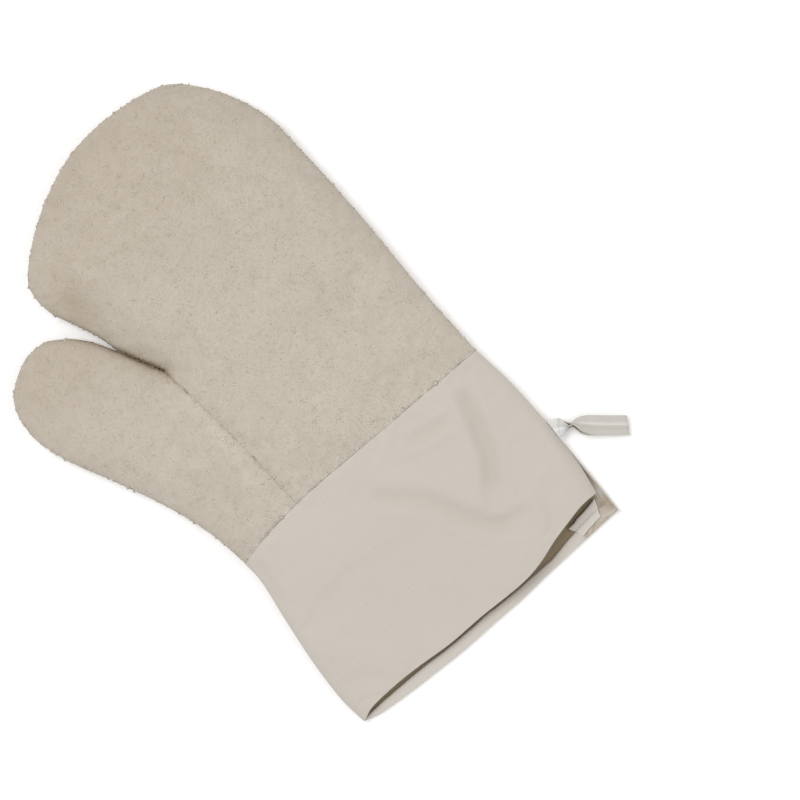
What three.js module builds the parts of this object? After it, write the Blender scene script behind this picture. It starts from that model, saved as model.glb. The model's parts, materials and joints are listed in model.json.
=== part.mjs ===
// Oven glove: a terry hand bag and thumb, a canvas cuff and a tape hanging loop, lying back up.
// Millimetres, +Z up. Y runs from the cuff's hem to the fingertips, and the thumb is on the -X side.
import * as THREE from 'three';

// Driving dimensions
const TERRY_WALL = 4.5;
const CANVAS_WALL = 1.2;
const GAP = 0.3;                 // clearance between neighbouring pieces
const SEAM_GROOVE = 1.4;         // depth of the thumb seam's groove in the upper side
const SEAM_GROOVE_UNDER = 0.8;   // the same seam on the under side
const SEAM_GROOVE_WIDTH = 7;     // from the seam to where the groove ends
const TAPE_WIDTH = 12.4;
const TAPE_THICKNESS = 0.9;
const ALLOWANCE_THICKNESS = 0.8;
const CURVE_STEPS = 12;          // samples between two rows of an outline table

// Where the thumb seam starts at the cuff and ends at the crotch, and where the slit above it opens
const SEAM_FOOT = { x: -49.6, y: 131.2 };
const CROTCH = { x: -60, y: 246.5 };
const SLIT_END = { x: -75, y: 276 };

// Outline tables: each row is a point in plan, from the cuff towards the fingers
const HAND_RIGHT = [
  { x: 96.6, y: 133.3 },
  { x: 94.8, y: 185 },
  { x: 95.2, y: 240 },
  { x: 92.8, y: 300 },
  { x: 89.7, y: 326.5 },
  { x: 78.5, y: 354 },
  { x: 61.2, y: 377.5 },
  { x: 51.3, y: 384.4 },
];
const HAND_TIP = [
  { x: 51.3, y: 384.4 },
  { x: 31.5, y: 389 },
  { x: 0, y: 390.6 },
  { x: -23.3, y: 386.8 },
  { x: -49.6, y: 376.2 },
];
const HAND_LOBE = [
  SLIT_END,
  { x: -79, y: 291 },
  { x: -84.8, y: 304 },
  { x: -92.3, y: 322 },
  { x: -91.6, y: 341 },
  { x: -71.2, y: 361.9 },
  { x: -49.6, y: 376.2 },
];
const THUMB_OUTSIDE = [
  { x: -98.3, y: 123 },
  { x: -101.7, y: 145.2 },
  { x: -107.5, y: 166.3 },
  { x: -116.7, y: 190.1 },
  { x: -129.3, y: 216.6 },
  { x: -142.8, y: 244 },
  { x: -149.1, y: 265.5 },
  { x: -148.8, y: 281.3 },
];
const THUMB_TIP = [
  { x: -148.8, y: 281.3 },
  { x: -143.7, y: 293.3 },
  { x: -134.4, y: 301.6 },
  { x: -121.5, y: 307.9 },
  { x: -105.5, y: 308.2 },
  { x: -92, y: 300.1 },
];
const THUMB_INSIDE = [
  SLIT_END,
  { x: -83.5, y: 290.5 },
  { x: -92, y: 300.1 },
];
const THUMB_SEAM = [
  SEAM_FOOT,
  { x: -53, y: 190 },
  CROTCH,
];
const CUFF_SEAM = [
  { x: -98.3, y: 123 },
  { x: -86, y: 126.4 },
  SEAM_FOOT,
  { x: 20, y: 132.4 },
  { x: 96.6, y: 133.3 },
];
const CUFF_LEFT = [
  { x: -104.3, y: 0.6 },
  { x: -106.4, y: 20.2 },
  { x: -105, y: 51.2 },
  { x: -101.5, y: 80.5 },
  { x: -97.6, y: 109.5 },
  { x: -98.3, y: 123 },
];
const CUFF_RIGHT_BACK = [
  { x: 97.6, y: 17.4 },
  { x: 100.4, y: 36 },
  { x: 101.6, y: 60 },
  { x: 101.4, y: 83 },
  { x: 100.2, y: 106.4 },
  { x: 96.6, y: 133.3 },
];
const CUFF_RIGHT_PALM = [
  { x: 101.5, y: 0.3 },
  { x: 101.9, y: 25 },
  { x: 101.6, y: 60 },
  { x: 101.4, y: 83 },
  { x: 100.2, y: 106.4 },
  { x: 96.6, y: 133.3 },
];
const HEM_BACK = [
  { x: -104.3, y: 0.6 },
  { x: -96, y: 4.1 },
  { x: -75, y: 5.7 },
  { x: -56, y: 5.3 },
  { x: -32, y: 3.7 },
  { x: -8, y: 4.2 },
  { x: 29, y: 4.2 },
  { x: 44, y: 7 },
  { x: 57, y: 11.2 },
  { x: 70, y: 14.4 },
  { x: 86, y: 17.6 },
  { x: 97.6, y: 17.4 },
];
const HEM_PALM = [
  { x: -104.3, y: 0.6 },
  { x: -96, y: -1.4 },
  { x: -75, y: -3.1 },
  { x: -50, y: -4.2 },
  { x: -28, y: -4.7 },
  { x: 0, y: -3.9 },
  { x: 20, y: -3.6 },
  { x: 40, y: -2.2 },
  { x: 64, y: -0.9 },
  { x: 101.5, y: 0.3 },
];
// The folded-in edge that lies inside the cuff's mouth
const ALLOWANCE_CORNERS = [
  { x: 74, y: 2.1 },
  { x: 90, y: 4.4 },
  { x: 94.2, y: 15.2 },
  { x: 69.8, y: 11 },
];

// Cross sections: the side seam's height, how far in from the edge the upper and the under side go on
// rounding, and the upper side's height towards the thumb, at the middle and away from the thumb
const SECTIONS = [
  { y: -10, seam: 3.2, roundUpper: 14, roundUnder: 8, left: 8.2, middle: 8, right: 14.5 },
  { y: 30, seam: 4.6, roundUpper: 18, roundUnder: 10, left: 10.4, middle: 11, right: 15.5 },
  { y: 80, seam: 7, roundUpper: 25, roundUnder: 12, left: 15, middle: 17, right: 18 },
  { y: 130, seam: 9, roundUpper: 31, roundUnder: 16, left: 19.5, middle: 22.5, right: 21.5 },
  { y: 200, seam: 9.5, roundUpper: 32, roundUnder: 17, left: 22.5, middle: 27.5, right: 26 },
  { y: 290, seam: 9.5, roundUpper: 32, roundUnder: 17, left: 24, middle: 30, right: 28.5 },
  { y: 400, seam: 9.5, roundUpper: 32, roundUnder: 17, left: 22, middle: 28, right: 26 },
];
const SECTION_LEFT_X = -100;
const SECTION_RIGHT_X = 58;
const CANVAS_STEP = 1.3;         // the canvas lies this much below the terry at their seam

// Folds and dents of the upper side: from, to, how wide and how high (negative is a dent)
const FOLDS = [
  { name: 'lobe dent', x0: -78, y0: 326, x1: -68, y1: 286, width: 10, height: -3 },
  { name: 'hand ridge', x0: 24, y0: 318, x1: 33, y1: 232, width: 24, height: 1.4 },
  { name: 'thumb dent', x0: -106, y0: 279, x1: -86, y1: 214, width: 10, height: -1.5 },
  { name: 'cuff valley top', x0: 73, y0: 122, x1: 62, y1: 91, width: 8, height: -1.6 },
  { name: 'cuff valley end', x0: 62, y0: 91, x1: 49, y1: 60, width: 8, height: -1.6 },
  { name: 'cross valley start', x0: -9, y0: 109, x1: 12, y1: 86, width: 8, height: -1.1 },
  { name: 'cross valley end', x0: 12, y0: 86, x1: 44, y1: 39, width: 8, height: -1.3 },
];

// The hanging loop's middle line: place, the direction of the tape's width as a turn about its run,
// in degrees (0 is flat, 90 on edge), and half the space between the legs
const LOOP_RUN = [
  { x: 101.9, y: 64.8, z: 7.1, turn: 0, eye: 0.25 },
  { x: 105.5, y: 63.4, z: 7.8, turn: 22, eye: 0.3 },
  { x: 109.4, y: 61.4, z: 8.3, turn: 62, eye: 0.4 },
  { x: 113.2, y: 58.8, z: 8.3, turn: 104, eye: 0.5 },
  { x: 117.4, y: 55.2, z: 7.4, turn: 144, eye: 0.7 },
  { x: 123, y: 50.6, z: 5.7, turn: 172, eye: 0.9 },
  { x: 130.5, y: 44.4, z: 4.0, turn: 180, eye: 1 },
  { x: 138.4, y: 37.9, z: 2.6, turn: 180, eye: 0.9 },
];
const LOOP_ROOT_SKEW = -21;      // the tape leaves the seam askew: its width runs along the seam

// Materials: colour, roughness
const MATERIALS = {
  terry: { color: 0xc4baac, roughness: 1.0 },
  canvas: { color: 0xcdc5bb, roughness: 0.92 },
  tape: { color: 0xd8d4cc, roughness: 0.85 },
};

// Polyline helpers
function smoothLine(rows) {
  const knots = rows.map((row) => new THREE.Vector3(row.x, row.y, 0));
  const curve = new THREE.CatmullRomCurve3(knots, false, 'centripetal');
  return curve.getPoints((rows.length - 1) * CURVE_STEPS).map((p) => ({ x: p.x, y: p.y }));
}

function chain(...lines) {
  const joined = [];
  for (const line of lines) {
    for (const point of line) {
      const last = joined[joined.length - 1];
      if (!last || Math.hypot(last.x - point.x, last.y - point.y) > 1e-6) joined.push(point);
    }
  }
  return joined;
}

function reversed(line) {
  return line.slice().reverse();
}

function along(line) {
  const reach = [0];
  for (let i = 1; i < line.length; i += 1) {
    reach.push(reach[i - 1] + Math.hypot(line[i].x - line[i - 1].x, line[i].y - line[i - 1].y));
  }
  const total = reach[reach.length - 1];
  return (t) => {
    const wanted = THREE.MathUtils.clamp(t, 0, 1) * total;
    let i = 1;
    while (i < line.length - 1 && reach[i] < wanted) i += 1;
    const share = (wanted - reach[i - 1]) / (reach[i] - reach[i - 1]);
    return {
      x: line[i - 1].x + (line[i].x - line[i - 1].x) * share,
      y: line[i - 1].y + (line[i].y - line[i - 1].y) * share,
    };
  };
}

// A line moved to its left by an amount given for each point
function offsetLine(line, amount) {
  return line.map((point, i) => {
    const before = line[Math.max(i - 1, 0)];
    const after = line[Math.min(i + 1, line.length - 1)];
    const dx = after.x - before.x;
    const dy = after.y - before.y;
    const size = Math.hypot(dx, dy);
    const by = typeof amount === 'function' ? amount(point) : amount;
    return { x: point.x - (dy / size) * by, y: point.y + (dx / size) * by };
  });
}

function distanceTo(line, x, y) {
  let best = Infinity;
  for (let i = 1; i < line.length; i += 1) {
    const a = line[i - 1];
    const b = line[i];
    const dx = b.x - a.x;
    const dy = b.y - a.y;
    const t = THREE.MathUtils.clamp(((x - a.x) * dx + (y - a.y) * dy) / (dx * dx + dy * dy), 0, 1);
    best = Math.min(best, Math.hypot(x - a.x - dx * t, y - a.y - dy * t));
  }
  return best;
}

// The outline's lines
const slit = [CROTCH, SLIT_END];
const handRight = smoothLine(HAND_RIGHT);
const handTip = smoothLine(HAND_TIP);
const handLobe = smoothLine(HAND_LOBE);
const thumbOutside = smoothLine(THUMB_OUTSIDE);
const thumbTip = smoothLine(THUMB_TIP);
const thumbInside = smoothLine(THUMB_INSIDE);
const thumbSeam = smoothLine(THUMB_SEAM);
const cuffSeam = smoothLine(CUFF_SEAM);
const cuffLeft = smoothLine(CUFF_LEFT);
const cuffRightBack = smoothLine(CUFF_RIGHT_BACK);
const cuffRightPalm = smoothLine(CUFF_RIGHT_PALM);
const mittEdges = [handRight, handTip, handLobe, slit, thumbInside, thumbTip, thumbOutside, cuffLeft];
const EDGES = {
  upper: [...mittEdges, cuffRightBack],
  under: [...mittEdges, cuffRightPalm],
};

// Heights
function section(y) {
  const last = SECTIONS.length - 1;
  let i = 0;
  while (i < last - 1 && y > SECTIONS[i + 1].y) i += 1;
  const a = SECTIONS[i];
  const b = SECTIONS[i + 1];
  const t = THREE.MathUtils.clamp((y - a.y) / (b.y - a.y), 0, 1);
  const out = {};
  for (const key of Object.keys(a)) out[key] = a[key] + (b[key] - a[key]) * t;
  return out;
}

function rise(share) {
  const t = 1 - THREE.MathUtils.clamp(share, 0, 1);
  return Math.sqrt(Math.max(1 - t * t, 0));
}

function foldHeight(x, y) {
  let sum = 0;
  for (const fold of FOLDS) {
    const line = [{ x: fold.x0, y: fold.y0 }, { x: fold.x1, y: fold.y1 }];
    const far = distanceTo(line, x, y) / fold.width;
    sum += fold.height * Math.exp(-far * far);
  }
  return sum;
}

function seamGroove(x, y) {
  const far = distanceTo(thumbSeam, x, y) / SEAM_GROOVE_WIDTH;
  return far < 1 ? (1 - far * far) ** 2 : 0;
}

function crown(x, y, cut) {
  const t = (x - SECTION_LEFT_X) / (SECTION_RIGHT_X - SECTION_LEFT_X);
  const half = THREE.MathUtils.clamp(t, 0, 1) * 2;
  if (half < 1) return THREE.MathUtils.lerp(cut.left, cut.middle, THREE.MathUtils.smoothstep(half, 0, 1));
  return THREE.MathUtils.lerp(cut.middle, cut.right, THREE.MathUtils.smoothstep(half - 1, 0, 1));
}

function edgeDistance(side, x, y) {
  return Math.min(...EDGES[side].map((line) => distanceTo(line, x, y)));
}

// Height of the upper or under side, at the outer face (depth 0) or at the inner one (depth = wall)
function height(side, x, y, depth, lowered) {
  const cut = section(y);
  const far = Math.max(edgeDistance(side, x, y) - depth, 0);
  if (side === 'under') {
    const start = cut.seam - GAP / 2;
    const bend = 1 - rise(far / (cut.roundUnder - depth));
    return depth + (start - depth) * bend + SEAM_GROOVE_UNDER * seamGroove(x, y) * (1 - bend);
  }
  const start = cut.seam + GAP / 2;
  const bend = rise(far / (cut.roundUpper - depth));
  const relief = foldHeight(x, y) - SEAM_GROOVE * seamGroove(x, y) - lowered;
  return start + Math.max(crown(x, y, cut) + relief - depth - start, 0) * bend;
}

// A patch is filled between four lines: bottom and top run left to right, left and right run upwards
function patch(bottom, top, left, right) {
  const corner = [bottom(0), bottom(1), top(0), top(1)];
  return (u, v) => {
    const blend = (axis) => {
      const across = bottom(v)[axis] * (1 - u) + top(v)[axis] * u;
      const upward = left(u)[axis] * (1 - v) + right(u)[axis] * v;
      const twist = (corner[0][axis] * (1 - v) + corner[1][axis] * v) * (1 - u)
        + (corner[2][axis] * (1 - v) + corner[3][axis] * v) * u;
      return across + upward - twist;
    };
    return { x: blend('x'), y: blend('y') };
  };
}

// Runs one line up to a share of the way and another after it, so that the join lies on a station
function twoStretches(first, second, share) {
  const a = along(first);
  const b = along(second);
  return (t) => (t <= share ? a(t / share) : b((t - share) / (1 - share)));
}

// Stations, closer together towards the ends that round off
function evenStations(cells) {
  return Array.from({ length: cells + 1 }, (_, i) => i / cells);
}

function roundedStations(cells) {
  return evenStations(cells).map((t) => (1 - Math.cos(Math.PI * t)) / 2);
}

const TIP_CROWDING = 0.18;       // the smaller, the closer the last stations

function tipStations(straightCells, tipCells, share) {
  const first = evenStations(straightCells).map((t) => t * share);
  const fromTip = (t) => (t * (TIP_CROWDING + t)) / (TIP_CROWDING + 1);
  const second = evenStations(tipCells).slice(1).map((t) => 1 - (1 - share) * fromTip(1 - t));
  return [...first, ...second];
}

// A closed solid between an outer and an inner grid of points
function solidBetween(outer, inner, facesUp) {
  const rows = outer.length;
  const columns = outer[0].length;
  const positions = [];
  for (const grid of [outer, inner]) {
    for (const row of grid) {
      for (const p of row) positions.push(p.x, p.y, p.z);
    }
  }
  const at = (i, j) => i * columns + j;
  const innerAt = (i, j) => rows * columns + i * columns + j;
  const faces = [];
  const add = (a, b, c) => {
    if (facesUp) faces.push(a, b, c);
    else faces.push(a, c, b);
  };
  for (let i = 0; i < rows - 1; i += 1) {
    for (let j = 0; j < columns - 1; j += 1) {
      add(at(i, j), at(i, j + 1), at(i + 1, j + 1));
      add(at(i, j), at(i + 1, j + 1), at(i + 1, j));
      add(innerAt(i, j), innerAt(i + 1, j + 1), innerAt(i, j + 1));
      add(innerAt(i, j), innerAt(i + 1, j), innerAt(i + 1, j + 1));
    }
  }
  const border = [];
  for (let j = 0; j < columns - 1; j += 1) border.push([0, j]);
  for (let i = 0; i < rows - 1; i += 1) border.push([i, columns - 1]);
  for (let j = columns - 1; j > 0; j -= 1) border.push([rows - 1, j]);
  for (let i = rows - 1; i > 0; i -= 1) border.push([i, 0]);
  border.forEach((here, k) => {
    const next = border[(k + 1) % border.length];
    add(at(...next), at(...here), innerAt(...here));
    add(at(...next), innerAt(...here), innerAt(...next));
  });
  const geometry = new THREE.BufferGeometry();
  geometry.setAttribute('position', new THREE.Float32BufferAttribute(positions, 3));
  geometry.setIndex(faces);
  geometry.computeVertexNormals();
  return geometry;
}

function gridOf(shape, upStations, acrossStations, heightAt) {
  return upStations.map((u) => acrossStations.map((v) => {
    const p = shape(u, v);
    return { x: p.x, y: p.y, z: heightAt(p.x, p.y) };
  }));
}

// One cloth panel: its outer face and, inset from its free edges by the wall, its inner face
function panel(side, lines, wall, upStations, acrossStations, lowered) {
  const outerShape = lines(0);
  const innerShape = lines(wall);
  const outer = gridOf(outerShape, upStations, acrossStations, (x, y) => height(side, x, y, 0, lowered));
  const inner = gridOf(innerShape, upStations, acrossStations, (x, y) => height(side, x, y, wall, lowered));
  return solidBetween(outer, inner, side === 'upper');
}

// The inset fades out below the crotch, where the thumb seam takes over from the free edge
const CROTCH_FADE = 8;
function seamInset(inset) {
  return (point) => {
    const below = Math.hypot(point.x - CROTCH.x, point.y - CROTCH.y);
    return GAP / 2 + inset * Math.max(1 - below / CROTCH_FADE, 0);
  };
}

// A side line whose end at the cuff seam stays clear of the piece beyond the seam
function clearOfSeam(line, end, by) {
  const cleared = line.slice();
  const i = end === 'start' ? 0 : line.length - 1;
  cleared[i] = { x: line[i].x, y: line[i].y + by };
  return cleared;
}

const handSeamPart = cuffSeam.filter((p) => p.x >= SEAM_FOOT.x);
const thumbSeamPart = cuffSeam.filter((p) => p.x <= SEAM_FOOT.x);

// The four lines of each panel, with its free edges inset
const HAND_SPLIT = 0.46;         // share of the hand's length below the crotch
const HAND_RIGHT_SPLIT_Y = 243;
const THUMB_SPLIT = 0.55;
const THUMB_LEFT_SPLIT_Y = 222;

function handLines(inset) {
  const seamSide = clearOfSeam(offsetLine(thumbSeam, (p) => -seamInset(inset)(p)), 'start', GAP / 2);
  const freeSide = offsetLine(chain(slit, handLobe), -(inset + GAP / 2));
  const right = clearOfSeam(offsetLine(handRight, inset), 'start', GAP / 2);
  const lower = right.filter((p) => p.y <= HAND_RIGHT_SPLIT_Y);
  const upper = chain([lower[lower.length - 1]], right.filter((p) => p.y > HAND_RIGHT_SPLIT_Y));
  const tip = offsetLine(reversed(handTip), -inset);
  const bottom = offsetLine(handSeamPart, GAP / 2);
  return patchFromLines(bottom, tip, chain(seamSide, freeSide), right, {
    left: [seamSide, freeSide],
    right: [lower, upper],
    share: HAND_SPLIT,
  });
}

function thumbLines(inset) {
  const seamSide = clearOfSeam(offsetLine(thumbSeam, seamInset(inset)), 'start', GAP / 2);
  const freeSide = offsetLine(chain(slit, thumbInside), inset + GAP / 2);
  const left = clearOfSeam(offsetLine(thumbOutside, -inset), 'start', GAP / 2);
  const lower = left.filter((p) => p.y <= THUMB_LEFT_SPLIT_Y);
  const upper = chain([lower[lower.length - 1]], left.filter((p) => p.y > THUMB_LEFT_SPLIT_Y));
  const tip = offsetLine(thumbTip, -inset);
  const bottom = offsetLine(thumbSeamPart, GAP / 2);
  return patchFromLines(bottom, tip, left, chain(seamSide, freeSide), {
    left: [lower, upper],
    right: [seamSide, freeSide],
    share: THUMB_SPLIT,
  });
}

function cuffLines(inset, right, hem) {
  const leftLine = clearOfSeam(offsetLine(cuffLeft, -inset), 'end', -GAP / 2);
  const rightLine = clearOfSeam(offsetLine(right, inset), 'end', -GAP / 2);
  const top = offsetLine(cuffSeam, -GAP / 2);
  return patchFromLines(hem, top, leftLine, rightLine, null);
}

// Ends of the side lines are pulled onto the ends of the bottom and top lines
function patchFromLines(bottom, top, left, right, stretches) {
  const leftAt = stretches ? twoStretches(...stretches.left, stretches.share) : along(left);
  const rightAt = stretches ? twoStretches(...stretches.right, stretches.share) : along(right);
  const ends = {
    bottom: [leftAt(0), rightAt(0)],
    top: [leftAt(1), rightAt(1)],
  };
  const fitted = (line, [from, to]) => {
    const at = along(line);
    const start = at(0);
    const end = at(1);
    return (t) => {
      const p = at(t);
      return {
        x: p.x + (from.x - start.x) * (1 - t) + (to.x - end.x) * t,
        y: p.y + (from.y - start.y) * (1 - t) + (to.y - end.y) * t,
      };
    };
  };
  return patch(fitted(bottom, ends.bottom), fitted(top, ends.top), leftAt, rightAt);
}

// The seam allowance follows the cuff's inner face
function allowance() {
  const corner = ALLOWANCE_CORNERS;
  const shape = patch(
    along([corner[0], corner[1]]),
    along([corner[3], corner[2]]),
    along([corner[0], corner[3]]),
    along([corner[1], corner[2]]),
  );
  const stations = evenStations(4);
  const across = evenStations(8);
  const floor = (x, y) => height('under', x, y, CANVAS_WALL, 0) + GAP;
  const upper = gridOf(shape, stations, across, (x, y) => floor(x, y) + ALLOWANCE_THICKNESS);
  const lower = gridOf(shape, stations, across, floor);
  return solidBetween(upper, lower, true);
}

// The loop: a flat tape out from the seam, round its end and back, turned over once near the root
const LOOP_STEPS = 22;
const LOOP_END_STEPS = 6;

function loopFrames() {
  const spline = (keys) => new THREE.CatmullRomCurve3(
    LOOP_RUN.map((row) => new THREE.Vector3(...keys.map((key) => row[key]))),
    false,
    'catmullrom',
  );
  const middle = spline(['x', 'y', 'z']);
  const shape = spline(['turn', 'eye', 'eye']);
  const frames = [];
  for (let i = 0; i <= LOOP_STEPS; i += 1) {
    const t = i / LOOP_STEPS;
    const run = middle.getTangent(t).normalize();
    const flat = new THREE.Vector3(-run.y, run.x, 0).normalize();
    const skew = THREE.MathUtils.degToRad(-LOOP_ROOT_SKEW * (1 - THREE.MathUtils.smoothstep(t, 0, 0.16)));
    const turn = THREE.MathUtils.degToRad(shape.getPoint(t).x);
    const wide = flat.clone().applyAxisAngle(run, turn);
    wide.applyAxisAngle(new THREE.Vector3(0, 0, 1), skew);
    const normal = new THREE.Vector3().crossVectors(run, wide).normalize();
    frames.push({ at: middle.getPoint(t), run, wide, normal, eye: Math.max(shape.getPoint(t).y, 0.25) });
  }
  return frames;
}

function loopGeometry() {
  const frames = loopFrames();
  const middleOfLeg = (frame) => frame.eye + TAPE_THICKNESS / 2;
  const path = frames.map((f) => ({ ...f, shift: middleOfLeg(f), facing: f.normal.clone() }));
  const last = frames[frames.length - 1];
  for (let i = 1; i < LOOP_END_STEPS; i += 1) {
    const angle = (Math.PI * i) / LOOP_END_STEPS;
    const facing = last.normal.clone().multiplyScalar(Math.cos(angle));
    facing.addScaledVector(last.run, Math.sin(angle));
    path.push({ ...last, shift: middleOfLeg(last), facing });
  }
  for (const f of reversed(frames)) {
    path.push({ ...f, shift: middleOfLeg(f), facing: f.normal.clone().negate() });
  }
  const positions = [];
  for (const p of path) {
    for (const [across, out] of [[-1, -1], [1, -1], [1, 1], [-1, 1]]) {
      const point = p.at.clone()
        .addScaledVector(p.facing, p.shift + (out * TAPE_THICKNESS) / 2)
        .addScaledVector(p.wide, (across * TAPE_WIDTH) / 2);
      positions.push(point.x, point.y, point.z);
    }
  }
  const faces = [];
  for (let i = 0; i < path.length - 1; i += 1) {
    for (let side = 0; side < 4; side += 1) {
      const a = i * 4 + side;
      const b = i * 4 + ((side + 1) % 4);
      faces.push(a, b, b + 4, a, b + 4, a + 4);
    }
  }
  const end = (path.length - 1) * 4;
  faces.push(0, 2, 1, 0, 3, 2, end, end + 1, end + 2, end, end + 2, end + 3);
  const geometry = new THREE.BufferGeometry();
  geometry.setAttribute('position', new THREE.Float32BufferAttribute(positions, 3));
  geometry.setIndex(faces);
  geometry.computeVertexNormals();
  return geometry;
}

// The glove, with its origin at the middle of its underside
const glove = new THREE.Group();

function addPiece(name, geometry, material) {
  const mesh = new THREE.Mesh(geometry, new THREE.MeshStandardMaterial({ metalness: 0, ...material }));
  mesh.name = name;
  glove.add(mesh);
}

const handUp = tipStations(7, 14, HAND_SPLIT);
const handAcross = roundedStations(20);
const thumbUp = tipStations(7, 11, THUMB_SPLIT);
const thumbAcross = roundedStations(12);
const cuffUp = evenStations(9);
const cuffAcross = roundedStations(26);

for (const [label, side] of [['back', 'upper'], ['palm', 'under']]) {
  addPiece(
    `hand_${label}_panel`,
    panel(side, handLines, TERRY_WALL, handUp, handAcross, 0),
    MATERIALS.terry,
  );
  addPiece(
    `thumb_${label}_panel`,
    panel(side, thumbLines, TERRY_WALL, thumbUp, thumbAcross, 0),
    MATERIALS.terry,
  );
  const right = side === 'upper' ? cuffRightBack : cuffRightPalm;
  const hem = smoothLine(side === 'upper' ? HEM_BACK : HEM_PALM);
  addPiece(
    `cuff_${label}_panel`,
    panel(side, (inset) => cuffLines(inset, right, hem), CANVAS_WALL, cuffUp, cuffAcross, CANVAS_STEP),
    MATERIALS.canvas,
  );
}
addPiece('cuff_seam_allowance', allowance(), MATERIALS.canvas);
addPiece('hanging_loop', loopGeometry(), MATERIALS.tape);

const box = new THREE.Box3().setFromObject(glove);
const middle = box.getCenter(new THREE.Vector3());
glove.position.set(-middle.x, -middle.y, -box.min.z);

export default glove;
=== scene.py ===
# Oven glove: a loop terry hand and thumb, a canvas cuff and a tape hanging loop, lying with its back up.
import json
import math

import bmesh
import bpy
import numpy as np
from mathutils import Matrix, Vector, noise


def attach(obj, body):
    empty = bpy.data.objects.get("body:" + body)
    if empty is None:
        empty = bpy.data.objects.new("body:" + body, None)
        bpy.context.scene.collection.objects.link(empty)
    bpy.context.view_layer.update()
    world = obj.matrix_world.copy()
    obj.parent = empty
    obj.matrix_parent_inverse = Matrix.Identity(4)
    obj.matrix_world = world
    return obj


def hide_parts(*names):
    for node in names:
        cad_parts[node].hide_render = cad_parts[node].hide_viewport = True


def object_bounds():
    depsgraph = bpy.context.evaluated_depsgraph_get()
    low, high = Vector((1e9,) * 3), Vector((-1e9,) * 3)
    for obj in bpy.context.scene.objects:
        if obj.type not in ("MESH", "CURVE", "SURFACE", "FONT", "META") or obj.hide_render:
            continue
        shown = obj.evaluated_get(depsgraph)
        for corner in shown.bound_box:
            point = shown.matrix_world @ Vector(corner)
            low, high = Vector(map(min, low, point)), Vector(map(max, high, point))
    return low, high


bl_info = {
    "name": "Oven glove",
    "version": (1, 0, 0),
    "blender": (4, 5, 0),
    "location": "3D View > Sidebar > Oven glove",
    "description": "Makes a terry oven glove with a canvas cuff and a tape hanging loop",
    "category": "Add Mesh",
}

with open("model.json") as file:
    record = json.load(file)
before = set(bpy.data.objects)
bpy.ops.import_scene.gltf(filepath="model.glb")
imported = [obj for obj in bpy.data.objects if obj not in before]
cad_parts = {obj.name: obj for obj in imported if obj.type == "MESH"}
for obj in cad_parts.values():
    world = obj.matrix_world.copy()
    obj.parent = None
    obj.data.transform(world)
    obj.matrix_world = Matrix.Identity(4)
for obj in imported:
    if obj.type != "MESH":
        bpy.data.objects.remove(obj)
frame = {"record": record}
CAD_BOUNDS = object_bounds()
FINISHES = {row["slot"]: row["base_color"][:3] for row in frame["record"]["materials"]}
MM = 0.001

# The outline in millimetres, x and y, from the cuff's hem (y = 0) to the fingertips, thumb on the -x side
SEAM_FOOT = (-49.6, 131.2)
CROTCH = (-60, 246.5)
SLIT_END = (-75, 276)
HAND_RIGHT = (
    (96.6, 133.3), (94.8, 185), (95.2, 240), (92.8, 300), (90.4, 327), (79.4, 354.6), (61.6, 378),
    (51.5, 385),
)
HAND_TIP = ((51.5, 385), (31.5, 389.4), (0, 390.6), (-23.3, 386.8), (-49.6, 376.2))
HAND_LOBE = (
    SLIT_END, (-79, 291), (-84.8, 304), (-92.3, 322), (-91.6, 341), (-71.2, 361.9), (-49.6, 376.2),
)
THUMB_OUTSIDE = (
    (-98.3, 123), (-101.7, 145.2), (-107.5, 166.3), (-116.7, 190.1), (-129.3, 216.6), (-142.8, 244),
    (-149.1, 265.5), (-148.8, 281.3),
)
THUMB_TIP = (
    (-148.8, 281.3), (-143.7, 293.3), (-134.4, 301.6), (-121.5, 307.9), (-105.5, 308.2), (-92, 300.1),
)
THUMB_INSIDE = (SLIT_END, (-83.5, 290.5), (-92, 300.1))
THUMB_SEAM = (SEAM_FOOT, (-53, 190), CROTCH)
CUFF_SEAM = ((-98.3, 123), (-86, 126.4), SEAM_FOOT, (20, 132.4), (96.6, 133.3))
CUFF_LEFT = ((-104.3, 0.6), (-106.4, 20.2), (-105, 51.2), (-101.5, 80.5), (-97.6, 109.5), (-98.3, 123))
CUFF_RIGHT = {
    "back": ((97.6, 17.4), (100.4, 36), (101.6, 60), (101.4, 83), (100.2, 106.4), (96.6, 133.3)),
    "palm": ((101.5, 0.3), (101.9, 25), (101.6, 60), (101.4, 83), (100.2, 106.4), (96.6, 133.3)),
}
HEM = {
    "back": (
        (-104.3, 0.6), (-96, 4.1), (-75, 5.7), (-56, 5.3), (-32, 3.7), (-8, 4.2), (29, 4.2), (44, 7),
        (57, 11.2), (70, 14.4), (86, 17.6), (97.6, 17.4),
    ),
    "palm": (
        (-104.3, 0.6), (-96, -1.9), (-75, -3.9), (-50, -4.9), (-28, -5.4), (0, -4.6), (20, -4.3),
        (40, -2.9), (64, -1.6), (101.5, 0.1),
    ),
}

# The cuff's corner away from the thumb in millimetres: the hem's folded edge, the painted shade and light
# there (the line that each follows, its half width and change in tone: a painted dark line at the allowance's
# lower edge, painted shade on the side that faces away from the light, and painted light where the back panel
# shades the corner) and the corners of the seam allowance in the mouth
CORNER_EDGE = ((74, 3.3), (80, 3.7), (87, 3.6), (101.5, 1.3))
CORNER_PAINTED_SHADE_AND_LIGHT = (
    (((83.5, 3.2), (87.5, 5.2), (91.3, 7)), 0.9, -0.25),
    (((95.5, 9), (99.5, 5.5)), 2.4, -0.14),
    (((95, 24), (98.3, 17)), 3.5, 0.26),
)
ALLOWANCE_CORNERS = ((74, 2.1), (90, 4.4), (94.2, 15.2), (69.8, 11))

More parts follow.
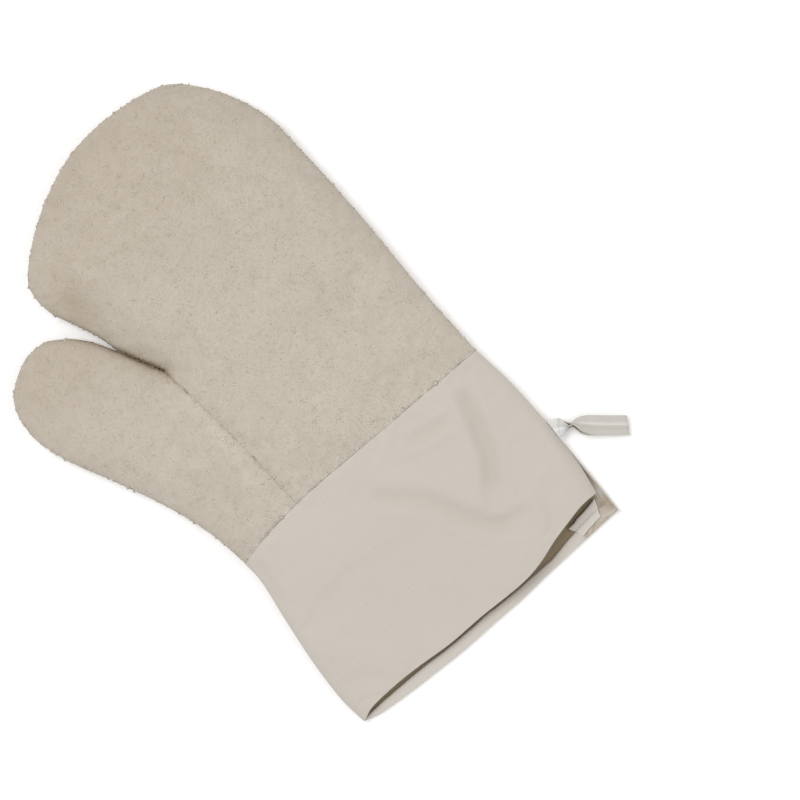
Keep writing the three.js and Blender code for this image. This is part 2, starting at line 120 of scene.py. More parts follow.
# Cross sections in millimetres: y, side seam's height, how far in the upper and the under side round,
# the upper side's height towards the thumb, at the middle and away from the thumb
SECTIONS = (
    (-10, 3.2, 14, 8, 8.2, 8, 14.5),
    (30, 4.6, 18, 10, 10.4, 11, 15.5),
    (80, 7, 25, 12, 15, 17, 18),
    (130, 9, 31, 16, 19.5, 22.5, 21.5),
    (200, 9.5, 32, 17, 22.5, 27.5, 26),
    (290, 9.5, 32, 17, 24, 30, 28.5),
    (400, 9.5, 32, 17, 22, 28, 26),
)
SECTION_LEFT_X = -100
SECTION_RIGHT_X = 58

# Folds and dents of the upper side in millimetres: the line that each follows, its half width, its height and
# the painted shade down in it
FOLDS = {
    "terry": (
        (((-78, 326), (-75, 308), (-68, 286)), 9, -3.2, 0),
        (((24, 318), (33, 232)), 24, 1.4, 0),
        (((-106, 279), (-100, 251), (-86, 214)), 10, -1.5, 0),
        (((-18, 249), (-27, 204)), 5, -0.7, 0),
        (((36, 150), (52, 144)), 12, -1.0, 0),
    ),
    "canvas": (
        (
            ((77, 125), (72.4, 114.4), (69.8, 104.4), (65, 92.2), (61, 79.2), (54, 67.8), (48, 55)),
            4.9, -2.1, -0.055,
        ),
        (
            ((-14, 108), (1.6, 93), (10.8, 84.6), (18, 74), (24.7, 57.7), (35.8, 42), (53, 33)),
            5.2, -1.4, -0.03,
        ),
        (((21, 118), (44, 112.5), (62, 109.4)), 3.8, -1.0, -0.03),
        (((-21, 43), (-19, 26)), 4, -0.5, -0.01),
        (((-50, 70), (-20, 62)), 16, -0.5, 0),
    ),
}

# How far from its ends a fold fades in, in millimetres, its stations between two rows, and the bulge beside
# it: a share of the fold's height, its distance in half widths and its sharpness
FOLD_END = 14
FOLD_STEPS = 6
FOLD_BULGE, FOLD_BULGE_AT, FOLD_BULGE_SHARPNESS = 0.3, 1.9, 1.6

# Darker towards the fingertips and the thumb's tip and a little lighter in the middle of the hand, with
# painted shade in the lobe's dent and a painted highlight beside the thumb's seam: middle and radii in
# millimetres, turn and change in tone
PILE_TONES_AND_PAINTED_LIGHT = (
    (-10, 425, 170, 130, 0, -0.12),
    (-78, 313, 8, 17, 12, -0.11),
    (-120, 290, 45, 40, 0, -0.07),
    (-60, 190, 5, 55, 2, 0.05),
    (10, 160, 90, 60, 0, 0.01),
)

# Mottles in the pile's tone: change in tone, size in millimetres and seed
PILE_MOTTLES = ((0.04, 7, 15.4), (0.045, 2.8, 19.2))

# The shade in the thumb's seam: its least and its full strength, its change in tone and its half width
THUMB_SEAM_LEAST, THUMB_SEAM_SHADE, THUMB_SEAM_WIDTH = 0.14, 0.3, 0.9

# The shade in the slit between the thumb and the hand: x, y, half width and change in tone
SLIT_SHADE = (
    (-93, 301, 0.8, -0.02),
    (-86, 293.5, 1.3, -0.2),
    (-75, 276, 1.6, -0.32),
    (-66, 258, 1.9, -0.4),
    (-60.3, 247.5, 1.5, -0.3),
    (-59, 238, 1.1, -0.16),
    (-57.5, 225, 0.9, -0.02),
)

# How finely the slit is followed, and the faint shade round it: its share and its half width in millimetres
SLIT_STATIONS = 70
SLIT_HAZE, SLIT_HAZE_WIDTH = 0.22, 5

# The inner edge of the under side's turned hem in millimetres, x and y
HEM_TURN = (
    (-106, 1), (-96, 2.4), (-75, 3), (-49, 2.6), (-30, 2.1), (0, 2.8), (22, 2.1), (40, 2.8), (50, 2.8),
    (57, 4.4), (64, 5.6), (80, 8), (97, 9),
)
HEM_TURN_THICKNESS = 1.3

# The loop's middle line in millimetres: x, y, z, turn about its run in degrees, half the space in it
LOOP_RUN = (
    (101.9, 64.8, 7.1, 0, 0.25),
    (105.5, 63.4, 7.8, 22, 0.3),
    (109.4, 61.4, 8.3, 62, 0.4),
    (113.2, 58.8, 8.3, 104, 0.5),
    (117.4, 55.2, 7.4, 144, 0.7),
    (123, 50.6, 5.7, 172, 0.9),
    (130.5, 44.4, 4.0, 180, 1),
    (138.4, 37.9, 2.6, 180, 0.9),
)

# How far the loop's root is turned in plan, in degrees, and the share of the loop that straightens out
LOOP_ROOT_SKEW, LOOP_ROOT_SHARE = 21, 0.16
TAPE_WIDTH = 12.4
TAPE_THICKNESS = 0.9

# Half the far turn's length as a share of the tape, and the waist in the twist: its middle and half length as
# shares of the loop, and how much narrower the tape is there
LOOP_TURN_SHARE = 0.06
LOOP_WAIST = (0.37, 0.09, 0.42)

# Stations between two rows of a line, and the space between the two sides and between sewn panels, in mm
CURVE_STEPS = 12
SEAM_GAP = 0.3
SEWN_GAP = 0.1
SEED = 41


# Plan lines
def through(rows, steps=CURVE_STEPS):
    """A smooth line through the rows of a table."""
    rows = np.array(rows, float)
    knots = np.vstack([2 * rows[0] - rows[1], rows, 2 * rows[-1] - rows[-2]])
    t = np.linspace(0, 1, steps, endpoint=False)[:, None]
    line = []
    for a, b, c, d in zip(knots, knots[1:], knots[2:], knots[3:]):
        ab, bc, cd = (math.sqrt(np.linalg.norm(q - p)) for p, q in ((a, b), (b, c), (c, d)))
        leave = ((b - a) / ab - (c - a) / (ab + bc) + (c - b) / bc) * bc
        arrive = ((c - b) / bc - (d - b) / (bc + cd) + (d - c) / cd) * bc
        bend = 3 * (c - b) - 2 * leave - arrive
        line.append(b + leave * t + bend * t**2 + (2 * (b - c) + leave + arrive) * t**3)
    return np.vstack([*line, rows[-1:]])


def along(line):
    """Places on a line by the share of its length."""
    reach = np.concatenate([[0], np.cumsum(np.linalg.norm(np.diff(line, axis=0), axis=1))])
    return lambda t: np.stack([np.interp(np.asarray(t) * reach[-1], reach, column) for column in line.T], -1)


def chained(first, second):
    return np.vstack([first, second[1:]])


def two_stretches(first, second, share):
    """One line up to a share of the way and another after it, so that their join lies on a station."""
    a, b = along(first), along(second)
    return lambda t: np.where(
        (np.asarray(t) <= share)[..., None],
        a(np.clip(np.asarray(t) / share, 0, 1)),
        b(np.clip((np.asarray(t) - share) / (1 - share), 0, 1)),
    )


def unit(rows):
    return rows / np.linalg.norm(rows, axis=1)[:, None]


def moved_left(line, amount):
    """The line moved to its left by an amount, or by one for each of its points."""
    run = unit(np.vstack([line[1] - line[0], line[2:] - line[:-2], line[-1] - line[-2]]))
    return line + np.stack([-run[:, 1], run[:, 0]], -1) * np.broadcast_to(amount, len(line))[:, None]


def distance_to(line, places):
    best = np.full(len(places), np.inf)
    for a, b in zip(line[:-1], line[1:]):
        run = b - a
        t = np.clip(((places - a) @ run) / (run @ run), 0, 1)
        best = np.minimum(best, np.hypot(*(places - a - t[:, None] * run).T))
    return best


LINES = {
    "hand_right": through(HAND_RIGHT),
    "hand_tip": through(HAND_TIP),
    "hand_lobe": through(HAND_LOBE),
    "thumb_outside": through(THUMB_OUTSIDE),
    "thumb_tip": through(THUMB_TIP),
    "thumb_inside": through(THUMB_INSIDE),
    "thumb_seam": through(THUMB_SEAM),
    "slit": along(np.array([CROTCH, SLIT_END], float))(np.linspace(0, 1, 9)),
    "cuff_seam": through(CUFF_SEAM),
    "cuff_left": through(CUFF_LEFT),
    "cuff_right_back": through(CUFF_RIGHT["back"]),
    "cuff_right_palm": through(CUFF_RIGHT["palm"]),
}
FREE_EDGES = (
    "hand_right", "hand_tip", "hand_lobe", "slit", "thumb_inside", "thumb_tip", "thumb_outside", "cuff_left",
)
PILE_EDGES = (*FREE_EDGES[:-1], "thumb_seam", "cuff_seam")
SECTION_CURVE = through(SECTIONS)
ORIGIN = np.array([
    CAD_BOUNDS[0].x / MM - LINES["thumb_outside"][:, 0].min(),
    CAD_BOUNDS[1].y / MM - LINES["hand_tip"][:, 1].max(),
    0,
])


def to_metres(places):
    """From the outline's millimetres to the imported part's frame."""
    return (places + ORIGIN) * MM


# Panel plans: each fills the space between four lines, with its free edges inset
def patch_between(bottom, top, left, right):
    bottom, top = fitted(bottom, left(0.0), right(0.0)), fitted(top, left(1.0), right(1.0))
    corners = [side(np.array(end)) for side in (bottom, top) for end in (0.0, 1.0)]

    def place(u, v):
        u, v = u[:, None], v[:, None]
        across = bottom(v[:, 0]) * (1 - u) + top(v[:, 0]) * u
        upward = left(u[:, 0]) * (1 - v) + right(u[:, 0]) * v
        low = corners[0] * (1 - v) + corners[1] * v
        high = corners[2] * (1 - v) + corners[3] * v
        return across + upward - low * (1 - u) - high * u

    return place


def fitted(line, start, end):
    """A line whose ends are pulled onto two given places."""
    at = along(line)
    first, last = at(0.0), at(1.0)

    def place(t):
        share = np.asarray(t)[..., None]
        return at(t) + (start - first) * (1 - share) + (end - last) * share

    return place


def clear_of_seam(line, end, by):
    line = line.copy()
    line[end, 1] += by
    return line


# Shares of each side line's length and heights where its two stretches meet
HAND_SPLIT, HAND_RIGHT_SPLIT_Y = 0.46, 243
THUMB_SPLIT, THUMB_LEFT_SPLIT_Y = 0.55, 222

# The slit's opening in millimetres, and changes by the distance from the crotch: where each starts and the
# length that it takes
CROTCH_FADE = 8
SLIT_OPEN = {"back": 0.4, "palm": 0}
SLIT_PARTS = (30, 9)
SLIT_OPENS = (1, 14)
SLIT_CLOSES = (32, 16)


def seam_inset(inset):
    below = np.linalg.norm(LINES["thumb_seam"] - np.array(CROTCH), axis=1)
    return SEWN_GAP / 2 + (inset * np.maximum(1 - below / CROTCH_FADE, 0) if inset > 1 else 0)


def slit_inset(line, inset, side):
    """The inset of the free edge above the crotch: along the slit the cloths nearly meet."""
    out = np.linalg.norm(line - np.array(CROTCH), axis=1)
    met = inset * onset(out, *SLIT_PARTS) if inset < 1 else inset
    opened = SLIT_OPEN[side] * onset(out, *SLIT_OPENS) * (1 - onset(out, *SLIT_CLOSES))
    return met + SEWN_GAP / 2 + opened * (1 + 0.6 * softness(line, 3.5, 23.9))


def seam_side(above, inset, side, way, share):
    """A panel's side along the thumb's seam and the free edge above it, moved one way or the other."""
    seam = clear_of_seam(moved_left(LINES["thumb_seam"], way * seam_inset(inset)), 0, SEWN_GAP / 2)
    free = chained(LINES["slit"], LINES[above])
    return two_stretches(seam, moved_left(free, way * slit_inset(free, inset, side)), share)


def outer_side(name, amount, y, share):
    """A panel's side along a line, moved by an amount, clear of the cuff's seam and parted at a height y."""
    line = clear_of_seam(moved_left(LINES[name], amount), 0, SEWN_GAP / 2)
    lower = line[line[:, 1] <= y]
    return two_stretches(lower, np.vstack([lower[-1:], line[line[:, 1] > y]]), share)


def hand_plan(inset, side):
    bottom = LINES["cuff_seam"][LINES["cuff_seam"][:, 0] >= SEAM_FOOT[0]]
    tip = moved_left(LINES["hand_tip"][::-1], -inset)
    left = seam_side("hand_lobe", inset, side, -1, HAND_SPLIT)
    return patch_between(bottom, tip, left, outer_side("hand_right", inset, HAND_RIGHT_SPLIT_Y, HAND_SPLIT))


def thumb_plan(inset, side):
    bottom = LINES["cuff_seam"][LINES["cuff_seam"][:, 0] <= SEAM_FOOT[0]]
    tip = moved_left(LINES["thumb_tip"], -inset)
    left = outer_side("thumb_outside", -inset, THUMB_LEFT_SPLIT_Y, THUMB_SPLIT)
    return patch_between(bottom, tip, left, seam_side("thumb_inside", inset, side, 1, THUMB_SPLIT))


def cuff_plan(inset, side):
    left = along(clear_of_seam(moved_left(LINES["cuff_left"], -inset), -1, -SEWN_GAP / 2))
    right = along(clear_of_seam(moved_left(LINES[f"cuff_right_{side}"], inset), -1, -SEWN_GAP / 2))
    return patch_between(through(HEM[side]), LINES["cuff_seam"], left, right)


# Heights
def rise(share):
    return np.sqrt(np.maximum(1 - (1 - np.clip(share, 0, 1)) ** 2, 0))


def smoothstep(t):
    t = np.clip(t, 0, 1)
    return t * t * (3 - 2 * t)


def onset(far, start, length):
    """0 up to a start, and 1 from a length after it."""
    return smoothstep((far - start) / length)


def bell(far, width):
    """1 at no distance, falling away smoothly over a width."""
    return np.exp(-((far / width) ** 2))


def section_at(y):
    """Seam height, upper and under rounding and the three upper heights at each y."""
    return [np.interp(y, SECTION_CURVE[:, 0], SECTION_CURVE[:, k]) for k in range(1, 7)]


def fading(line, places):
    """From 0 at the ends of a fold to 1 a little way along it."""
    ends = [np.hypot(*(places - np.array(end, float)).T) for end in (line[0], line[-1])]
    return smoothstep(np.minimum(*ends) / FOLD_END)


def folds(kind, places):
    """For each fold how far off it the places are, in half widths, its fading, its height and its painted
    shade.
    """
    for line, width, height, tone_and_painted_light in FOLDS[kind]:
        yield distance_to(through(line, FOLD_STEPS), places) / width, fading(line, places), height, tone_and_painted_light


def fold_height(kind, places):
    total = np.zeros(len(places))
    for far, faded, height, _ in folds(kind, places):
        beside = FOLD_BULGE * np.exp(-((far - FOLD_BULGE_AT) ** 2) * FOLD_BULGE_SHARPNESS)
        total += height * faded * (bell(far, 1) - beside)
    return total


def fold_painted_shade(kind, places):
    """Shade down in the folds, where little light reaches."""
    return sum(tone_and_painted_light * faded * bell(far, 1) for far, faded, _, tone_and_painted_light in folds(kind, places))


def softness(places, size, seed):
    """Smooth unevenness from -1 to 1, with features of a size in millimetres."""
    return np.array([noise.noise(Vector((x / size, y / size, seed))) for x, y in places[:, :2]])


def edge_distance(side, places):
    edges = (*FREE_EDGES, f"cuff_right_{side}")
    return np.min([distance_to(LINES[name], places) for name in edges], axis=0)


# Depths of the groove at the thumb's seam and its half width, and how much thinner the canvas is
SEAM_GROOVE = {"back": 1.1, "palm": 0.8}
SEAM_GROOVE_WIDTH = 7
CANVAS_STEP = 0.8


def seam_groove(places):
    far = np.clip(distance_to(LINES["thumb_seam"], places) / SEAM_GROOVE_WIDTH, 0, 1)
    return (1 - far * far) ** 2


def crown(places, left, middle, right):
    half = np.clip((places[:, 0] - SECTION_LEFT_X) / (SECTION_RIGHT_X - SECTION_LEFT_X), 0, 1) * 2
    first = left + (middle - left) * smoothstep(half)
    return np.where(half < 1, first, middle + (right - middle) * smoothstep(half - 1))


def turned_hem(places):
    """1 on the under side's turned hem and 0 inside the cuff."""
    edge = np.interp(places[:, 0], *np.array(HEM_TURN, float).T) + 0.5 * softness(places, 9, 8.2)
    return smoothstep((edge - places[:, 1]) / 0.7 + 0.5)


def pile_tone_and_painted_light(places):
    """Change in tone of the terry at each place, with painted light and shade."""
    total = np.zeros(len(places))
    for x, y, wide, long, turn, amount in PILE_TONES_AND_PAINTED_LIGHT:
        angle = math.radians(turn)
        dx, dy = places[:, 0] - x, places[:, 1] - y
        a = (dx * math.cos(angle) - dy * math.sin(angle)) / wide
        b = (dx * math.sin(angle) + dy * math.cos(angle)) / long
        total += amount * np.exp(-(a * a + b * b))
    seam = distance_to(LINES["thumb_seam"], places[:, :2])
    broken = THUMB_SEAM_LEAST + np.clip(softness(places, 4.5, 12.1) * 5 - 1.4, 0, 1)
    total -= THUMB_SEAM_SHADE * broken * bell(seam, THUMB_SEAM_WIDTH)
    stations = along(through(SLIT_SHADE))(np.linspace(0, 1, SLIT_STATIONS))
    reach = np.linalg.norm(places[:, None, :2] - stations[None, :, :2], axis=2)
    nearest = reach.argmin(axis=1)
    width, amount = stations[nearest, 2], stations[nearest, 3]
    slit = reach.min(axis=1) + 0.5 * softness(places, 3, 17.7)
    total += amount * (bell(slit, width) + SLIT_HAZE * bell(slit, SLIT_HAZE_WIDTH))
    for amount, size, seed in PILE_MOTTLES:
        total += amount * softness(places, size, seed)
    return total


# Unevenness of the upper cloth: height and size in millimetres and seed
UNEVENNESS = {
    "terry": ((0.75, 38, 3.1), (0.42, 13, 7.7), (0.3, 5, 21.3)),
    "canvas": ((0.5, 45, 1.7), (0.16, 14, 9.1)),
}

# Gathers along the free edges and the seams: reach, size and height in millimetres and seed
EDGE_GATHERS = (16, 9, 0.8, 11.3)
THUMB_SEAM_GATHERS = (12, 8, 0.7, 5.9)
CUFF_SEAM_GATHERS = {"terry": (9, 7, 0.6, 2.3), "canvas": (12, 9, 0.45, 6.6)}

# Depth and half width of the groove at the cuff's seam
CUFF_SEAM_GROOVE = {"terry": (0.1, 2.6), "canvas": (0.15, 2.2)}


def gathers(far, places, reach, size, depth, seed):
    """Small gathers along a seam, which fade over a reach away from it."""
    return depth * softness(places, size, seed) * bell(far, reach)


def relief(kind, places, far):
    """Folds, gathers and unevenness of the upper side, in millimetres."""
    bumps = sum(amount * softness(places, size, seed) for amount, size, seed in UNEVENNESS[kind])
    if kind == "terry":
        bumps += gathers(far, places, *EDGE_GATHERS)
        bumps += gathers(distance_to(LINES["thumb_seam"], places), places, *THUMB_SEAM_GATHERS)
    to_cuff = distance_to(LINES["cuff_seam"], places)
    bumps += gathers(to_cuff, places, *CUFF_SEAM_GATHERS[kind])
    depth, width = CUFF_SEAM_GROOVE[kind]
    bumps -= depth * bell(to_cuff, width)
    return fold_height(kind, places) + bumps


def height(kind, side, places, depth):
    """Height of a side at a depth under its outer face, in millimetres."""
    seam, round_upper, round_under, left, middle, right = section_at(places[:, 1])
    far = edge_distance(side, places)
    inner = np.maximum(far - depth, 0)
    lowered = CANVAS_STEP if kind == "canvas" else 0
    if side == "palm":
        bend = 1 - rise(inner / (round_under - depth))
        groove = SEAM_GROOVE["palm"] * seam_groove(places)
        turned = HEM_TURN_THICKNESS * turned_hem(places) if kind == "canvas" and depth > 0 else 0
        return depth + (seam - SEAM_GAP / 2 - depth) * bend + groove * (1 - bend) + turned
    start = seam + SEAM_GAP / 2
    bend = rise(inner / (round_upper - depth))
    shaped = crown(places, left, middle, right) - SEAM_GROOVE["back"] * seam_groove(places) - lowered
    shaped += relief(kind, places, far)
    return start + np.maximum(shaped - depth - start, 0) * bend


# Meshes
def stations_up(t, tip=0.15):
    """Even, and closer together towards the tip."""
    late = np.maximum(t - (1 - tip), 0)
    return (t - late**2 / (2 * tip)) / (1 - tip / 2)


def stations_from_hem(t):
    """Close together in the hem and even above it."""
    return np.interp(t, (0, 0.24, 1), (0, 0.09, 1))


def flat_slab(name, across, up, size=0.5, thickness=0.1):
    """A closed slab whose two faces are grids of cells, or one such grid if it has no thickness."""
    bm = bmesh.new()
    bmesh.ops.create_grid(bm, x_segments=across, y_segments=up, size=size)
    if thickness:
        bmesh.ops.solidify(bm, geom=bm.faces[:], thickness=thickness)
        bmesh.ops.recalc_face_normals(bm, faces=bm.faces[:])
    mesh = bpy.data.meshes.new(name)
    bm.to_mesh(mesh)
    bm.free()
    return mesh


def read_places(mesh):
    places = np.empty(len(mesh.vertices) * 3)
    mesh.vertices.foreach_get("co", places)
    return places.reshape(-1, 3)


def write_places(mesh, places):
    mesh.vertices.foreach_set("co", places.ravel())
    mesh.update()


def add_object(name, mesh, material):
    mesh.materials.append(material)
    mesh.polygons.foreach_set("use_smooth", np.ones(len(mesh.polygons), bool))
    piece = bpy.data.objects.new(name, mesh)
    bpy.context.scene.collection.objects.link(piece)
    return piece


def is_top(flat):
    return flat[:, 2] > flat[:, 2].mean()


# Each point's tone, which carries painted light and shade as well as the cloth's own changes in tone
def set_tone_and_painted_light(mesh, values):
    mesh.attributes.new("tone_and_painted_light", "FLOAT", "POINT").data.foreach_set("value", values)


def lay_weave(mesh, places):
    """Lays the weave over a mesh by a place in the flat cloth, in millimetres, for each of its points."""
    corner = np.empty(len(mesh.loops), int)
    mesh.loops.foreach_get("vertex_index", corner)
    mesh.uv_layers.new(name="cloth").data.foreach_set("uv", (places[corner] * MM).ravel())


# Painted light and shade on the canvas: painted shade inside the cuff, painted light on the turned hem,
# painted shade past it on the side that faces away from the light, and painted shade in flecks under it at the
# corner
INNER_BACK_PAINTED_SHADE = -0.45
INNER_PALM_PAINTED_SHADE = -0.42
HEM_PAINTED_LIGHT = 0.08
BEYOND_PAINTED_SHADE = -0.2
UNDER_PAINTED_SHADE = -0.34
CORNER_START_X, CORNER_FOLD_X = 73, 86

# How much lighter the cloth is painted along the cuff's seam, as painted light in broken stretches against the
# shade in its groove, and the half width of the painted line
SEAM_PAINTED_LIGHT = {"terry": 0.4, "canvas": 0.12}
SEAM_PAINTED_LIGHT_WIDTH = 0.9


def under_canvas_painted_light(places):
    """Painted light and shade on the under canvas's upper face, which shows in the mouth."""
    hem = turned_hem(places)
    beyond = places[:, 0] - np.minimum(87 + 0.83 * (places[:, 1] - 4.6), 96.6)
    inside = (1 - hem) * smoothstep(0.5 - beyond / 1.2)
    edge = np.interp(places[:, 0], *np.array(CORNER_EDGE, float).T)
    under = smoothstep((edge - places[:, 1]) / 0.7) * onset(places[:, 0], CORNER_START_X, 1.5)
    folded = bell(places[:, 1] - edge, 0.6) * onset(places[:, 0], CORNER_FOLD_X, 1.5)
    values = HEM_PAINTED_LIGHT * hem + INNER_PALM_PAINTED_SHADE * inside + BEYOND_PAINTED_SHADE * smoothstep(beyond / 1.2) * (1 - under)
    values += UNDER_PAINTED_SHADE * (0.75 + 0.6 * softness(places, 2.2, 44.0)) * under
    for line, width, tone_and_painted_light in CORNER_PAINTED_SHADE_AND_LIGHT:
        values += tone_and_painted_light * bell(distance_to(np.array(line, float), places[:, :2]), width)
    return values * (1 - folded)


def cloth_tone_and_painted_light(kind, side, places, outer):
    """Change in tone of a panel at each place, with its painted light and shade."""
    if kind == "terry":
        values = pile_tone_and_painted_light(places)
    elif side == "back":
        values = np.where(outer, fold_painted_shade(kind, places[:, :2]), INNER_BACK_PAINTED_SHADE)
    else:
        values = np.where(outer, 0, under_canvas_painted_light(places))
    # Painted light along the cuff's seam, in broken stretches
    seam_light = np.clip(0.5 + 1.3 * softness(places, 5, 27.0), 0, 1) * SEAM_PAINTED_LIGHT[kind]
    return values + seam_light * bell(distance_to(LINES["cuff_seam"], places[:, :2]), SEAM_PAINTED_LIGHT_WIDTH)


# How far in from the outline the ground cloth's face ends, in millimetres
TERRY_FACE_INSET = 0.3


def cloth_panel(name, kind, side, plan, cells, outer_depth, wall, up, material, lift=None):
    """A cloth panel: its outer face at a depth under the full outline, its inner face at the wall's depth."""
    mesh = flat_slab(name, *cells)
    flat = read_places(mesh)
    v, u = smoothstep(flat[:, 0] + 0.5), up(flat[:, 1] + 0.5)
    outer = is_top(flat) if side == "back" else ~is_top(flat)
    places = np.empty_like(flat)
    face_inset = TERRY_FACE_INSET if kind == "terry" else outer_depth
    for chosen, depth, inset in ((outer, outer_depth, face_inset), (~outer, wall, wall)):
        xy = plan(inset, side)(u[chosen], v[chosen])
        places[chosen] = np.column_stack([xy, height(kind, side, xy, depth)])
    if lift is not None:
        places[:, 2] += read_table(lift, u, v)
    write_places(mesh, to_metres(places))
    lay_weave(mesh, places[:, :2])
    set_tone_and_painted_light(mesh, cloth_tone_and_painted_light(kind, side, places, outer))
    return add_object(name, mesh, material), outer


# Settling of the loose upper cloth, by simulation: the canvas is less loose than the terry, and the lift is
# limited, in millimetres
SETTLE_CELLS = (40, 52)
SETTLE_FRAMES = 22
SETTLE_LIMIT = {"terry": 1.6, "canvas": 0.8}
CANVAS_LOOSENESS = 0.6
SETTLE_DEPTH = 1.0
SETTLE_CLOTH = {
    "quality": 6,
    "mass": 0.3,
    "tension_stiffness": 25,
    "compression_stiffness": 25,
    "shear_stiffness": 12,
    "bending_stiffness": 1.5,
    "air_damping": 3,
}


def settled(name, kind, plan, excess):
    across, up = SETTLE_CELLS
    mesh = flat_slab(f"{name}_loose", across, up, thickness=0)
    flat = read_places(mesh)
    v, u = flat[:, 0] + 0.5, flat[:, 1] + 0.5
    xy = plan(SETTLE_DEPTH, "back")(u, v)
    start = to_metres(np.column_stack([xy, height(kind, "back", xy, SETTLE_DEPTH)]))
    write_places(mesh, start)
    loose = bpy.data.objects.new(mesh.name, mesh)
    bpy.context.scene.collection.objects.link(loose)
    sewn = loose.vertex_groups.new(name="sewn")
    rim = np.minimum(np.minimum(u, 1 - u), np.minimum(v, 1 - v))
    sewn.add([int(k) for k in np.flatnonzero(rim < 0.01)], 1.0, "REPLACE")
    modifier = loose.modifiers.new("Settle", "CLOTH")
    cloth = modifier.settings
    for key, value in SETTLE_CLOTH.items():
        setattr(cloth, key, value)
    cloth.shrink_min = -excess
    cloth.vertex_group_mass = sewn.name
    cloth.effector_weights.gravity = 0
    modifier.point_cache.frame_start = 1
    modifier.point_cache.frame_end = SETTLE_FRAMES
    scene = bpy.context.scene
    for step in range(1, SETTLE_FRAMES + 1):
        scene.frame_set(step)
    end = read_places(loose.evaluated_get(bpy.context.evaluated_depsgraph_get()).data)
    scene.frame_set(1)
    bpy.data.objects.remove(loose)
    bpy.data.meshes.remove(mesh)
    lift = (end[:, 2] - start[:, 2]) / MM
    limit = SETTLE_LIMIT[kind]
    order = np.lexsort((v, u))
    return (limit * np.tanh(lift / limit))[order].reshape(up + 1, across + 1)


def cubic_weights(t):
    return np.stack([
        (-t + 2 * t**2 - t**3) / 2,
        (2 - 5 * t**2 + 3 * t**3) / 2,
        (t + 4 * t**2 - 3 * t**3) / 2,
        (t**3 - t**2) / 2,
    ])


def read_table(table, u, v):
    """A table's values between its rows and columns, by smooth curves."""
    rows, columns = table.shape
    a, b = u * (rows - 1), v * (columns - 1)
    i, j = np.minimum(a.astype(int), rows - 2), np.minimum(b.astype(int), columns - 2)
    row_weights, column_weights = cubic_weights(a - i), cubic_weights(b - j)
    padded = np.pad(table, 1, mode="edge")
    return sum(
        row_weights[k] * column_weights[m] * padded[i + k, j + m] for k in range(4) for m in range(4)
    )


# Terry pile. Leans are in radians, sizes are a spread with a least and a largest, tufts stand out along the
# seams, and under the mitt the pile thins out from the rim inward, by millimetres.
LOOP_LEAN, LOOP_LEAN_LIMIT = 0.7, 1.15
LOOP_SIZES = (0.22, 0.65, 1.7)
LOOP_TONES = 0.03
LIGHT_LOOPS, LIGHT_LOOP_TONE = 0.07, 0.07
TUFTS, TUFT_WIDTH = 0.9, 2.2
PALM_THINNED, PALM_RIM = 0.76, (7, 6)
LOWEST_LOOP = 0.0001

# Pulled loops that lie over the pile, where the cloth is nearly level
CURL_LEAN, CURL_LEAN_SPREAD = 1.38, 0.19
CURL_SIZES = (0.3, 0.6, 1.7)
# Painted light on the curls, which lie over the pile and catch the light: its least and its spread
CURL_PAINTED_LIGHT, CURL_PAINTED_LIGHT_SPREAD = 0.1, 0.14
CURL_YARN, CURL_REACH, CURL_SIDES, CURL_STEPS = 0.42, 1.9, 4, 5
CURL_RAISED = 0.3
NEARLY_LEVEL = 0.85


def loop_prototype(yarn, arch, sides=3, steps=2):
    """One yarn loop: a thin round section swung over a half turn, with its feet at z = 0."""
    bm = bmesh.new()
    made = bmesh.ops.create_circle(bm, segments=sides, radius=yarn)
    bmesh.ops.translate(bm, verts=made["verts"], vec=(arch, 0, 0))
    bmesh.ops.spin(
        bm, geom=bm.edges[:] + bm.verts[:], cent=(0, 0, 0), axis=(0, -1, 0), angle=math.pi, steps=steps,
    )
    open_edges = [edge for edge in bm.edges if edge.is_boundary]
    bmesh.ops.holes_fill(bm, edges=open_edges, sides=sides)
    bmesh.ops.recalc_face_normals(bm, faces=bm.faces[:])
    bmesh.ops.triangulate(bm, faces=bm.faces[:])
    places = np.array([vert.co for vert in bm.verts])
    faces = np.array([[vert.index for vert in face.verts] for face in bm.faces])
    bm.free()
    return places, faces


def scatter(mesh, outer, spacing, rng):
    """Places and normals spread evenly over a panel's outer face, one for each square of the spacing."""
    count = len(mesh.polygons)
    corner = np.empty(count * 4, int)
    mesh.polygons.foreach_get("vertices", corner)
    corner = corner.reshape(count, 4)
    corner = corner[outer[corner].all(axis=1)]
    places = read_places(mesh)
    normals = np.empty(len(mesh.vertices) * 3)
    mesh.vertices.foreach_get("normal", normals)
    normals = normals.reshape(-1, 3)
    a, b, c, d = (places[corner[:, k]] for k in range(4))
    halves = np.cross(b - a, c - a), np.cross(c - a, d - a)
    area = sum(np.linalg.norm(half, axis=1) for half in halves) / 2
    wanted = np.floor(area / spacing**2 + rng.random(len(area))).astype(int)
    chosen = np.repeat(np.arange(len(area)), wanted)
    s, t = rng.random((2, len(chosen), 1))
    weights = ((1 - s) * (1 - t), s * (1 - t), s * t, (1 - s) * t)
    at = sum(places[corner[chosen, k]] * w for k, w in enumerate(weights))
    normal = sum(normals[corner[chosen, k]] * w for k, w in enumerate(weights))
    return at, unit(normal)


def level_ways(count, rng):
    turn = rng.random(count) * 2 * math.pi
    return np.stack([np.cos(turn), np.sin(turn), np.zeros(count)], -1)


def loop_axes(normal, wide, lean):
    """Axes of loops that stand on a surface and lean aside: along each loop's width, through it and up."""
    wide = unit(wide)
    up = normal * np.cos(lean)[:, None] + np.cross(normal, wide) * np.sin(lean)[:, None]
    return np.stack([wide, np.cross(up, wide), up], 1)


def loop_sizes(count, spread, least, largest, rng):
    return np.clip(rng.lognormal(0, spread, count), least, largest)


